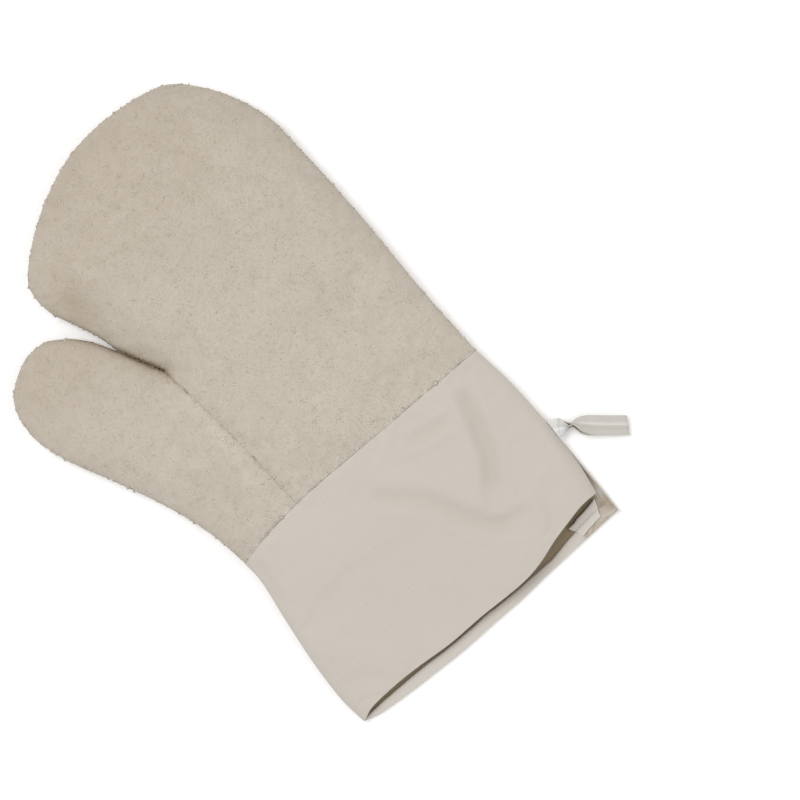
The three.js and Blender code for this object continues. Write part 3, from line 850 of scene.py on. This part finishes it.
def joined_copies(name, prototype, at, axes, sizes, tones, material, split=1):
    """Copies of a prototype, each with its own place, axes, size and tone, joined in one piece or shared out
    over several, each a stretch of the panel's length."""
    points, faces = prototype
    placed = at[:, None] + sizes[:, None, None] * np.einsum("pk,nkc->npc", points, axes)
    placed[..., 2] = np.maximum(placed[..., 2], LOWEST_LOOP)
    placed = placed.astype(np.float32).astype(float)
    stretches, names = [np.arange(len(at))], [name]
    if split > 1:
        stretches = np.array_split(np.argsort(placed[..., 1].mean(axis=1), kind="stable"), split)
        names = [f"{name}_{k + 1}" for k in range(split)]
    pieces = []
    for part, chosen in zip(names, stretches):
        indices = (faces[None] + (np.arange(len(chosen)) * len(points))[:, None, None]).reshape(-1)
        mesh = bpy.data.meshes.new(part)
        mesh.vertices.add(len(chosen) * len(points))
        mesh.vertices.foreach_set("co", placed[chosen].ravel())
        mesh.loops.add(len(indices))
        mesh.loops.foreach_set("vertex_index", indices)
        mesh.polygons.add(len(indices) // 3)
        mesh.polygons.foreach_set("loop_start", np.arange(0, len(indices), 3))
        mesh.update(calc_edges=True)
        set_tone_and_painted_light(mesh, np.repeat(tones[chosen], len(points)))
        pieces.append(add_object(part, mesh, material))
    return pieces


def terry_curls(name, panel, outer, settings, seed, material):
    """Longer loops, pulled out of the pile, that lie over it in curls, painted lighter for the light they
    catch.
    """
    rng = np.random.default_rng(seed)
    at, normal = scatter(panel.data, outer, settings.curl_spacing, rng)
    at, normal = at[normal[:, 2] > NEARLY_LEVEL], normal[normal[:, 2] > NEARLY_LEVEL]
    count = len(at)
    wide = np.cross(normal, level_ways(count, rng))
    lean = rng.choice((-1, 1), count) * (CURL_LEAN + CURL_LEAN_SPREAD * rng.random(count))
    sizes = loop_sizes(count, *CURL_SIZES, rng)
    raised = at + normal * (settings.pile_height * CURL_RAISED)
    tones = pile_tone_and_painted_light(at / MM - ORIGIN) + CURL_PAINTED_LIGHT + CURL_PAINTED_LIGHT_SPREAD * rng.random(count)
    prototype = loop_prototype(
        settings.yarn_radius * CURL_YARN, settings.loop_reach * CURL_REACH, CURL_SIDES, CURL_STEPS,
    )
    return joined_copies(name, prototype, raised, loop_axes(normal, wide, lean), sizes, tones, material)


def terry_pile(name, panel, outer, settings, side, split, seed, material):
    """Uncut yarn loops over a terry panel's outer face, fewer where the under side lies on the floor."""
    rng = np.random.default_rng(seed)
    spacing = settings.loop_spacing if side == "back" else settings.palm_spacing
    at, normal = scatter(panel.data, outer, spacing, rng)
    if side == "palm":
        far = edge_distance(side, (at / MM - ORIGIN)[:, :2])
        kept = rng.random(len(at)) < 1 - PALM_THINNED * onset(far, *PALM_RIM)
        at, normal = at[kept], normal[kept]
    count = len(at)
    wide = np.cross(normal, np.cross(level_ways(count, rng), normal))
    wide += 1e-6 * rng.random((count, 3))
    lean = np.clip(rng.normal(0, LOOP_LEAN, count), -LOOP_LEAN_LIMIT, LOOP_LEAN_LIMIT)
    flat = at / MM - ORIGIN
    sizes = loop_sizes(count, *LOOP_SIZES, rng)
    seams = np.min([distance_to(LINES[line], flat[:, :2]) for line in PILE_EDGES], axis=0)
    sizes *= 1 + TUFTS * rng.random(count) ** 2 * bell(seams, TUFT_WIDTH)
    sunk = at - normal * (settings.loop_sink * np.minimum(sizes, 1.3))[:, None]
    tones = pile_tone_and_painted_light(flat) + LOOP_TONES * np.clip(rng.normal(0, 1, count), -2, 2)
    tones += LIGHT_LOOP_TONE * (rng.random(count) > 1 - LIGHT_LOOPS)
    prototype = loop_prototype(settings.yarn_radius, settings.loop_reach)
    return joined_copies(name, prototype, sunk, loop_axes(normal, wide, lean), sizes, tones, material, split)


# Materials
def new_material(name, colour):
    material = bpy.data.materials.new(name)
    material.use_nodes = True
    tree = material.node_tree
    shader = tree.nodes["Principled BSDF"]
    shader.inputs["Base Color"].default_value = (*colour, 1)
    shader.inputs["Specular IOR Level"].default_value = 0.15
    return material, tree, shader


def add_node(tree, kind, links=None, **values):
    node = tree.nodes.new(kind)
    for key, value in values.items():
        if key in node.inputs:
            node.inputs[key].default_value = value
        else:
            setattr(node, key, value)
    for key, socket in (links or {}).items():
        tree.links.new(socket, node.inputs[key])
    return node


def linear(colour):
    return tuple(c / 12.92 if c <= 0.04045 else ((c + 0.055) / 1.055) ** 2.4 for c in colour)


def shaded(colour, by):
    return tuple(min(c * by, 1) for c in colour)


# The colour mix node's sockets
MIX_COLOURS = (6, 7)
MIX_RESULT = 2


def tinted(tree, factor, first, second):
    """A colour between two, each given as a colour or as a socket, by a factor socket."""
    mix = add_node(tree, "ShaderNodeMix", data_type="RGBA")
    tree.links.new(factor, mix.inputs["Factor"])
    for index, colour in zip(MIX_COLOURS, (first, second)):
        if isinstance(colour, tuple):
            mix.inputs[index].default_value = (*colour, 1)
        else:
            tree.links.new(colour, mix.inputs[index])
    return mix.outputs[MIX_RESULT]


def ranged(tree, socket, low, high):
    """A socket's values from low to high, spread out from 0 to 1."""
    node = add_node(tree, "ShaderNodeMapRange", {"Value": socket})
    node.inputs["From Min"].default_value = low
    node.inputs["From Max"].default_value = high
    return node.outputs["Result"]


def cloth_noise(tree, place, scale, detail=2.0):
    node = add_node(tree, "ShaderNodeTexNoise", {"Vector": place}, Scale=scale, Detail=detail)
    return node.outputs["Fac"]


def yarns(tree, uv, direction, scale, distortion):
    """Yarns side by side, as waves across one direction of the cloth."""
    return add_node(
        tree, "ShaderNodeTexWave", {"Vector": uv}, bands_direction=direction, Scale=scale,
        Distortion=distortion, Detail=1.0,
    ).outputs["Fac"]


def combine(tree, operation, first, second):
    node = tree.nodes.new("ShaderNodeMath")
    node.operation = operation
    for key, value in enumerate((first, second)):
        if isinstance(value, (int, float)):
            node.inputs[key].default_value = value
        else:
            tree.links.new(value, node.inputs[key])
    return node.outputs[0]


def weighted(tree, first, first_weight, second, second_weight):
    """The sum of two sockets, each times its weight."""
    scaled = [combine(tree, "MULTIPLY", *pair) for pair in ((first, first_weight), (second, second_weight))]
    return combine(tree, "ADD", *scaled)


def toned_and_painted(tree, colour):
    """A colour changed by the cloth's tone and painted light and shade at each place, warmer where it is
    darker.
    """
    tone_and_painted_light = add_node(tree, "ShaderNodeAttribute", attribute_name="tone_and_painted_light").outputs["Fac"]
    # Painted shade is warmer, as cloth in shade is
    shade_warmth = add_node(tree, "ShaderNodeCombineXYZ", X=1.0, Y=1.2, Z=1.5)
    change = add_node(tree, "ShaderNodeVectorMath", {"Vector": shade_warmth.outputs["Vector"]}, operation="SCALE")
    tree.links.new(tone_and_painted_light, change.inputs["Scale"])
    shift = add_node(tree, "ShaderNodeVectorMath", operation="MULTIPLY_ADD")
    for k, socket in enumerate((colour, change.outputs["Vector"], colour)):
        tree.links.new(socket, shift.inputs[k])
    return shift.outputs["Vector"]


def finish_cloth(tree, shader, base, relief_height, strength, distance, finish):
    """Gives a cloth's shader its colour, the fine relief of its yarns and its finish."""
    tree.links.new(base, shader.inputs["Base Color"])
    bump = add_node(tree, "ShaderNodeBump", {"Height": relief_height}, Strength=strength, Distance=distance)
    tree.links.new(bump.outputs["Normal"], shader.inputs["Normal"])
    for key, value in finish.items():
        shader.inputs[key].default_value = value


def terry_material(name, colour, pile):
    """Undyed cotton terry: matt yarn with a faint fuzz, uneven in tone from loop to loop."""
    material, tree, shader = new_material(name, colour)
    place = tree.nodes.new("ShaderNodeTexCoord").outputs["Object"]
    blotch = cloth_noise(tree, place, 28, 3)
    grain = cloth_noise(tree, place, 620, 2)
    factor = ranged(tree, weighted(tree, blotch, 0.45, grain, 0.55), 0.25, 0.75)
    # The yarn's copy is painted lighter than the ground's: painted light against the shade that falls between
    # the loops
    lift = 1.02 if pile else 0.955
    base = toned_and_painted(tree, tinted(tree, factor, shaded(colour, lift), shaded(colour, lift * 1.1)))
    fibre = cloth_noise(tree, place, 1500 if pile else 900, 3)
    finish_cloth(tree, shader, base, fibre, 0.5, 0.0003 if pile else 0.0006, {
        "Roughness": 1.0,
        "Subsurface Weight": 0.6 if pile else 0.0,
        "Subsurface Radius": (1.0, 0.85, 0.7),
        "Subsurface Scale": 0.0008,
        "Sheen Weight": 0.12,
        "Sheen Roughness": 0.6,
    })
    return material


def canvas_material(name, colour):
    """Undyed plain-woven canvas: fine square weave, thick and thin yarns, a few darker flecks."""
    material, tree, shader = new_material(name, colour)
    uv = add_node(tree, "ShaderNodeUVMap", uv_map="cloth").outputs["UV"]
    weave = combine(tree, "ADD", *(yarns(tree, uv, axis, 290.0, 1.2) for axis in ("X", "Y")))
    slubs = []
    for stretch in ((1.0, 0.05, 1.0), (0.05, 1.0, 1.0)):
        mapping = add_node(tree, "ShaderNodeMapping", {"Vector": uv}, Scale=stretch)
        slubs.append(cloth_noise(tree, mapping.outputs["Vector"], 900, 2))
    slub = combine(tree, "ADD", *slubs)
    blotch = cloth_noise(tree, uv, 26, 3)
    factor = ranged(tree, weighted(tree, slub, 0.35, blotch, 0.4), 0.35, 0.75)
    base = tinted(tree, factor, shaded(colour, 0.953), shaded(colour, 0.997))
    fleck = ranged(tree, cloth_noise(tree, uv, 420, 1), 0.77, 0.82)
    flecked = tinted(tree, fleck, base, shaded(colour, 0.72))
    finish_cloth(
        tree, shader, toned_and_painted(tree, flecked), weighted(tree, weave, 0.5, slub, 0.8), 0.22, 0.0003,
        {"Roughness": 0.92, "Sheen Weight": 0.05},
    )
    return material


def tape_material(name, colour):
    """Off-white woven cotton tape, with fine ribs along it."""
    material, tree, shader = new_material(name, colour)
    uv = add_node(tree, "ShaderNodeUVMap", uv_map="cloth").outputs["UV"]
    ribs = yarns(tree, uv, "X", 330.0, 0.5)
    picks = yarns(tree, uv, "Y", 420.0, 0.8)
    factor = ranged(tree, combine(tree, "ADD", ribs, cloth_noise(tree, uv, 160, 2)), 0.3, 1.6)
    base = toned_and_painted(tree, tinted(tree, factor, shaded(colour, 0.86), shaded(colour, 0.97)))
    relief_height = combine(tree, "ADD", ribs, combine(tree, "MULTIPLY", picks, 0.5))
    finish_cloth(tree, shader, base, relief_height, 0.5, 0.0004, {"Roughness": 0.85})
    return material


# Settings
def length(name, description, default, least, most):
    return bpy.props.FloatProperty(
        name=name, description=description, default=default, min=least, max=most, subtype="DISTANCE",
        unit="LENGTH",
    )


def angle(name, description, degrees, least, most):
    return bpy.props.FloatProperty(
        name=name, description=description, default=math.radians(degrees), min=least, max=most,
        subtype="ANGLE", unit="ROTATION",
    )


def paint(name, description, default):
    return bpy.props.FloatVectorProperty(
        name=name, description=description, default=default, min=0, max=1, size=3, subtype="COLOR_GAMMA",
    )


class GloveCloth(bpy.types.PropertyGroup):
    """Cloth sizes and colours of the glove."""

    terry_wall: length("Terry thickness", "Thickness of the terry with its pile", 0.0045, 0.003, 0.006)
    canvas_wall: length("Canvas thickness", "Thickness of the cuff's canvas", 0.0012, 0.0008, 0.002)
    pile_height: length(
        "Pile height", "How far the yarn loops stand out of the ground cloth", 0.0009, 0.0003, 0.002,
    )
    looseness: bpy.props.FloatProperty(
        name="Looseness", description="How much larger the upper cloth is cut than its seams allow",
        default=0.012, min=0.0, max=0.05, subtype="FACTOR",
    )
    loop_spacing: length("Loop spacing", "Distance between yarn loops on the back", 0.0012, 0.001, 0.004)
    palm_spacing: length(
        "Palm loop spacing", "Distance between yarn loops at the under side's rim", 0.0017, 0.001, 0.006,
    )
    curl_spacing: length("Curl spacing", "Distance between pulled loops on the back", 0.0085, 0.003, 0.02)
    yarn_radius: length("Yarn radius", "Radius of the terry's yarn", 0.00044, 0.0002, 0.0008)
    loop_reach: length("Loop reach", "Half the width of a yarn loop", 0.00045, 0.0004, 0.0015)
    loop_sink: length(
        "Loop sink", "How deep a yarn loop's feet stand in the ground cloth", 0.0005, 0.0, 0.001,
    )
    terry_colour: paint("Terry colour", "Colour of the undyed terry", FINISHES["terry"])
    canvas_colour: paint("Canvas colour", "Colour of the undyed canvas", FINISHES["canvas"])
    tape_colour: paint("Tape colour", "Colour of the hanging loop's tape", FINISHES["tape"])


class GloveStudio(bpy.types.PropertyGroup):
    """The floor, the lights and the camera."""

    elevation: angle("Camera elevation", "The camera's angle above the floor", 89.2, 0.1, 1.57)
    azimuth: angle(
        "Camera azimuth", "The camera's turn round the glove, 0 looking along +Y", -39.8, -3.15, 3.15,
    )
    field: length("Field of view", "Width of the picture at the glove", 0.496, 0.2, 1.0)
    lens: bpy.props.FloatProperty(
        name="Lens", description="Focal length", default=135, min=50, max=200, unit="CAMERA",
    )
    floor_colour: paint("Floor colour", "Colour of the plain floor", (0.99, 0.99, 0.99))


def finish_piece(piece, node):
    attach(piece, "root")
    if node:
        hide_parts(node)


# How deep the ground cloth lies, as a share of the pile's height
PILE_PACKED = 0.8


def terry_maker(part, side, plan, cells, split):
    """The terry panel of a part's side, with its pile of loops in a number of pieces."""
    cloth = bpy.context.scene.glove_cloth
    colour = linear(cloth.terry_colour)
    ground = bpy.data.materials.get("terry_ground") or terry_material("terry_ground", colour, False)
    yarn = bpy.data.materials.get("terry_yarn") or terry_material("terry_yarn", colour, True)
    panel, outer = cloth_panel(
        f"{part}_{side}_terry", "terry", side, plan, cells, cloth.pile_height / MM * PILE_PACKED,
        cloth.terry_wall / MM, stations_up, ground,
        settled(part, "terry", plan, cloth.looseness) if side == "back" else None,
    )
    finish_piece(panel, f"{part}_{side}_panel")
    seed = SEED + sum(map(ord, part + side))
    piles = terry_pile(f"{part}_{side}_pile", panel, outer, cloth, side, split, seed, yarn)
    if side == "back":
        piles += terry_curls(f"{part}_{side}_curls", panel, outer, cloth, seed + 1, yarn)
    for piece in piles:
        finish_piece(piece, None)
    return panel, piles


class GLOVE_OT_hand(bpy.types.Operator):
    """Make the hand's two terry panels and their pile"""

    bl_idname = "glove.hand"
    bl_label = "Hand"

    def execute(self, context):
        for side, cells, split in (("back", (96, 132), 3), ("palm", (64, 88), 1)):
            panel, piles = terry_maker("hand", side, hand_plan, cells, split)
        return {"FINISHED"}


class GLOVE_OT_thumb(bpy.types.Operator):
    """Make the thumb's two terry panels and their pile"""

    bl_idname = "glove.thumb"
    bl_label = "Thumb"

    def execute(self, context):
        for side, cells in (("back", (48, 90)), ("palm", (32, 60))):
            panel, piles = terry_maker("thumb", side, thumb_plan, cells, 1)
        return {"FINISHED"}


# The seam allowance in millimetres: its thickness, how high its far side stands off the under side, how far
# its near edge curls up, how uneven its outline is and how long its loose threads are. Rims are shares.
ALLOWANCE_CELLS = (30, 14)
ALLOWANCE_THICKNESS = 0.9
ALLOWANCE_RISE = 1.6
ALLOWANCE_CURL, ALLOWANCE_CURL_RIM = 0.5, 0.12
ALLOWANCE_SWAY = 0.5
ALLOWANCE_THREADS = 0.9
# Painted light on the allowance, against the shade that the back panel casts on it
ALLOWANCE_PAINTED_LIGHT = 0.1
CUT_RIM, SIDE_RIM = 0.01, 0.02


def seam_allowance(material, wall):
    """The folded-in edge that shows in the cuff's mouth, cut and frayed at its near edge."""
    mesh = flat_slab("seam_allowance", *ALLOWANCE_CELLS)
    flat = read_places(mesh)
    corner = np.array(ALLOWANCE_CORNERS, float)
    v, u = flat[:, 0:1] + 0.5, flat[:, 1:2] + 0.5
    xy = (corner[0] * (1 - v) + corner[1] * v) * (1 - u) + (corner[3] * (1 - v) + corner[2] * v) * u
    v, u = v[:, 0], u[:, 0]
    top = is_top(flat)
    rim = np.minimum(np.minimum(u, 1 - u) * 10, np.minimum(v, 1 - v) * 20)
    lift = np.where(top, ALLOWANCE_THICKNESS * rise(0.15 + rim / 2.5), 0.0)
    lift += 0.3 * softness(xy, 6, 4.4) * smoothstep(rim / 3)
    lift += ALLOWANCE_RISE * u**2 + ALLOWANCE_CURL * bell(u, ALLOWANCE_CURL_RIM) * top
    xy = xy + ALLOWANCE_SWAY * np.stack([softness(xy, 4, 31.0), softness(xy, 4, 35.0)], -1)
    frayed = np.clip(softness(xy, 1.6, 41.0) * 2, 0, 1) * (~top & (u < CUT_RIM))
    xy[:, 1] -= ALLOWANCE_THREADS * frayed
    z = height("canvas", "palm", xy, wall) + SEWN_GAP + lift
    write_places(mesh, to_metres(np.column_stack([xy, z])))
    lay_weave(mesh, xy)
    # A painted highlight on the curled edge and on the sides, and painted shadow under the loose threads
    tone_and_painted_light = np.where(top, ALLOWANCE_PAINTED_LIGHT + 0.1 * bell(u, 0.1), ALLOWANCE_PAINTED_LIGHT - 0.6 * frayed)
    tone_and_painted_light += 0.3 * (np.minimum(v, 1 - v) < SIDE_RIM)
    set_tone_and_painted_light(mesh, tone_and_painted_light)
    return add_object("seam_allowance", mesh, material)


class GLOVE_OT_cuff(bpy.types.Operator):
    """Make the cuff's two canvas panels and the seam allowance in its mouth"""

    bl_idname = "glove.cuff"
    bl_label = "Cuff"

    def execute(self, context):
        cloth = context.scene.glove_cloth
        canvas = canvas_material("canvas", linear(cloth.canvas_colour))
        wall = cloth.canvas_wall / MM
        excess = cloth.looseness * CANVAS_LOOSENESS
        for side, cells in (("back", (180, 110)), ("palm", (110, 80))):
            lift = settled("cuff", "canvas", cuff_plan, excess) if side == "back" else None
            panel, _ = cloth_panel(
                f"cuff_{side}_canvas", "canvas", side, cuff_plan, cells, 0.0, wall, stations_from_hem, canvas,
                lift,
            )
            finish_piece(panel, f"cuff_{side}_panel")
        piece = seam_allowance(canvas, wall)
        finish_piece(piece, "cuff_seam_allowance")
        return {"FINISHED"}


# The loop's stations between two rows, and how far off to both sides its run is read, as a share of its length
LOOP_STEPS = 24
LOOP_AHEAD = 0.01


def loop_frames(t):
    """Place, run, width direction, normal and half space of the loop at shares of its length."""
    rows = through(LOOP_RUN, LOOP_STEPS)
    shares = np.linspace(0, 1, len(rows))
    at, ahead, behind = (
        np.stack([np.interp(share, shares, column) for column in rows.T], -1)
        for share in (t, np.minimum(t + LOOP_AHEAD, 1), np.maximum(t - LOOP_AHEAD, 0))
    )
    run = unit(ahead[:, :3] - behind[:, :3])
    wide, normal = np.empty_like(run), np.empty_like(run)
    for k, share in enumerate(t):
        along_run = Vector(run[k])
        flat = Vector((-along_run.y, along_run.x, 0)).normalized()
        turned = Matrix.Rotation(math.radians(at[k, 3]), 3, along_run) @ flat
        skew = math.radians(LOOP_ROOT_SKEW) * (1 - float(smoothstep(share / LOOP_ROOT_SHARE)))
        turned = Matrix.Rotation(skew, 3, "Z") @ turned
        wide[k], normal[k] = turned, along_run.cross(turned).normalized()
    return at[:, :3], run, wide, normal, at[:, 4]


# The tape's lengthwise ribs: height, how many lie in half its width, and the middle ridge's height, place and
# half width, with places and widths as shares of half the tape's width
RIB, RIB_COUNT = 0.05, 4.5
RIDGE, RIDGE_AT, RIDGE_WIDTH = 0.4, -0.12, 0.16
TAPE_EDGE = 0.45
TAPE_SLANT = 0.9
TAPE_LOWEST = 0.2

# Painted highlight and painted shade across the tape and along the loop: change in tone, place and half width
TAPE_PAINTED_LIGHT_ACROSS = ((0.2, -0.12, 0.14), (-0.07, 0.25, 0.2))


class GLOVE_OT_loop(bpy.types.Operator):
    """Make the hanging loop of doubled tape"""

    bl_idname = "glove.loop"
    bl_label = "Hanging loop"

    def execute(self, context):
        cloth = context.scene.glove_cloth
        tape = tape_material("tape", linear(cloth.tape_colour))
        mesh = flat_slab("tape_loop", 16, 120)
        flat = read_places(mesh)
        across = flat[:, 0] * 2
        share = flat[:, 1] + 0.5
        straight = 0.5 - LOOP_TURN_SHARE
        t = np.minimum(np.clip(share / straight, 0, 1), np.clip((1 - share) / straight, 0, 1))
        angle = np.clip((share - straight) / (2 * LOOP_TURN_SHARE), 0, 1) * math.pi
        at, run, wide, normal, eye = loop_frames(t)
        facing = normal * np.cos(angle)[:, None] + run * np.sin(angle)[:, None]
        ribs = RIB * np.cos(across * RIB_COUNT * math.pi) + RIDGE * bell(across - RIDGE_AT, RIDGE_WIDTH)
        waist, waist_length, narrower = LOOP_WAIST
        width = TAPE_WIDTH * (1 - narrower * bell(t - waist, waist_length))
        half = TAPE_THICKNESS / 2
        shift = np.where(is_top(flat), half + ribs, -half)
        edge = np.sqrt(np.maximum(1 - across**8, 0))
        shift = eye + half + shift * (TAPE_EDGE + (1 - TAPE_EDGE) * edge)
        slant = TAPE_SLANT * across * onset(t, 0.85, 0.15)
        places = at + facing * shift[:, None] + wide * (across * width / 2)[:, None] + run * slant[:, None]
        places[:, 2] = np.maximum(places[:, 2], TAPE_LOWEST)
        write_places(mesh, to_metres(places))
        lay_weave(mesh, np.stack([across * 6.2, share * 110], -1))
        tone_and_painted_light = sum(amount * bell(across - place, reach) for amount, place, reach in TAPE_PAINTED_LIGHT_ACROSS)
        # Painted light on the loop's root, and painted shade in its pinch and along the crease near the root
        tone_and_painted_light += 0.3 * (1 - onset(t, 0.24, 0.1)) - 0.35 * bell(t - 0.36, 0.03)
        tone_and_painted_light -= 0.16 * bell(t - 0.13 - 0.05 * across, 0.02)
        set_tone_and_painted_light(mesh, tone_and_painted_light)
        bm = bmesh.new()
        bm.from_mesh(mesh)
        bmesh.ops.recalc_face_normals(bm, faces=bm.faces[:])
        bm.to_mesh(mesh)
        bm.free()
        piece = add_object("tape_loop", mesh, tape)
        finish_piece(piece, "hanging_loop")
        return {"FINISHED"}


# What the camera and the lights aim at, in the outline's millimetres, and the lights: name, size in metres,
# power in watts, and the way to each across, along and up from the glove as the camera sees it
TARGET = (40.5, 139.7, 10.0)
LIGHTS = (
    ("key_light", 0.8, 10.3, (-0.5, 0.2, 0.95)),
    ("fill_light", 1.6, 6.0, (0.7, -0.1, 0.8)),
)
LIGHT_DISTANCE = 1.6
WHITE = (1, 1, 1, 1)
WORLD_LIGHT = 0.57
FLOOR_SIZE, FLOOR_GLOW = 3, 0.1
SENSOR_WIDTH = 36


def add_aimed(name, data, place, way):
    """A camera or a light at a place, looking back along the way that leads to it."""
    made = bpy.data.objects.new(name, data)
    made.location = place
    made.rotation_mode = "QUATERNION"
    made.rotation_quaternion = (-way).to_track_quat("-Z", "Y")
    bpy.context.scene.collection.objects.link(made)
    return made


class GLOVE_OT_stage(bpy.types.Operator):
    """Make the floor, the lights and the camera"""

    bl_idname = "glove.stage"
    bl_label = "Stage"

    def execute(self, context):
        scene = context.scene
        studio = scene.glove_studio
        mesh = flat_slab("floor", 1, 1, FLOOR_SIZE, 0)
        material, _, shader = new_material("floor", linear(studio.floor_colour))
        shader.inputs["Roughness"].default_value = 1.0
        shader.inputs["Specular IOR Level"].default_value = 0.0
        shader.inputs["Emission Color"].default_value = WHITE
        shader.inputs["Emission Strength"].default_value = FLOOR_GLOW
        floor = add_object("floor", mesh, material)
        a, e = studio.azimuth, studio.elevation
        right = Vector((math.cos(a), math.sin(a), 0))
        ahead = Vector((-math.sin(a), math.cos(a), 0))
        back = Vector((math.sin(a) * math.cos(e), -math.cos(a) * math.cos(e), math.sin(e)))
        target = Vector(to_metres(np.array(TARGET)))
        camera = bpy.data.cameras.new("camera")
        camera.lens = studio.lens
        camera.sensor_width = SENSOR_WIDTH
        camera.clip_start = 0.01
        distance = studio.field / SENSOR_WIDTH * studio.lens
        scene.camera = add_aimed("camera", camera, target + back * distance, back)
        for name, size, power, (to_right, to_ahead, to_above) in LIGHTS:
            lamp = bpy.data.lights.new(name, "AREA")
            lamp.shape = "DISK"
            lamp.size = size
            lamp.energy = power
            way = right * to_right + ahead * to_ahead + Vector((0, 0, to_above))
            add_aimed(name, lamp, target + way.normalized() * LIGHT_DISTANCE, way)
        world = bpy.data.worlds.new("studio")
        world.use_nodes = True
        background = world.node_tree.nodes["Background"]
        background.inputs["Color"].default_value = WHITE
        background.inputs["Strength"].default_value = WORLD_LIGHT
        scene.world = world
        scene.view_settings.view_transform = "Standard"
        scene.view_settings.look = "None"
        return {"FINISHED"}


class GLOVE_PT_panel(bpy.types.Panel):
    """The glove's operators and settings"""

    bl_idname = "GLOVE_PT_panel"
    bl_label = "Oven glove"
    bl_space_type = "VIEW_3D"
    bl_region_type = "UI"
    bl_category = "Oven glove"

    def draw(self, context):
        for settings in (context.scene.glove_cloth, context.scene.glove_studio):
            for name in settings.bl_rna.properties.keys():
                if name not in ("rna_type", "name"):
                    self.layout.prop(settings, name)
        for operator in STEPS:
            self.layout.operator(operator)


STEPS = ("glove.stage", "glove.cuff", "glove.loop", "glove.thumb", "glove.hand")
CLASSES = (
    GloveCloth, GloveStudio, GLOVE_OT_hand, GLOVE_OT_thumb, GLOVE_OT_cuff, GLOVE_OT_loop, GLOVE_OT_stage,
    GLOVE_PT_panel,
)


def register():
    for one in CLASSES:
        bpy.utils.register_class(one)
    bpy.types.Scene.glove_cloth = bpy.props.PointerProperty(type=GloveCloth)
    bpy.types.Scene.glove_studio = bpy.props.PointerProperty(type=GloveStudio)


def unregister():
    del bpy.types.Scene.glove_studio
    del bpy.types.Scene.glove_cloth
    for one in reversed(CLASSES):
        bpy.utils.unregister_class(one)


def main():
    register()
    for step in STEPS:
        group, name = step.split(".")
        getattr(getattr(bpy.ops, group), name)()


if __name__ == "__main__":
    main()
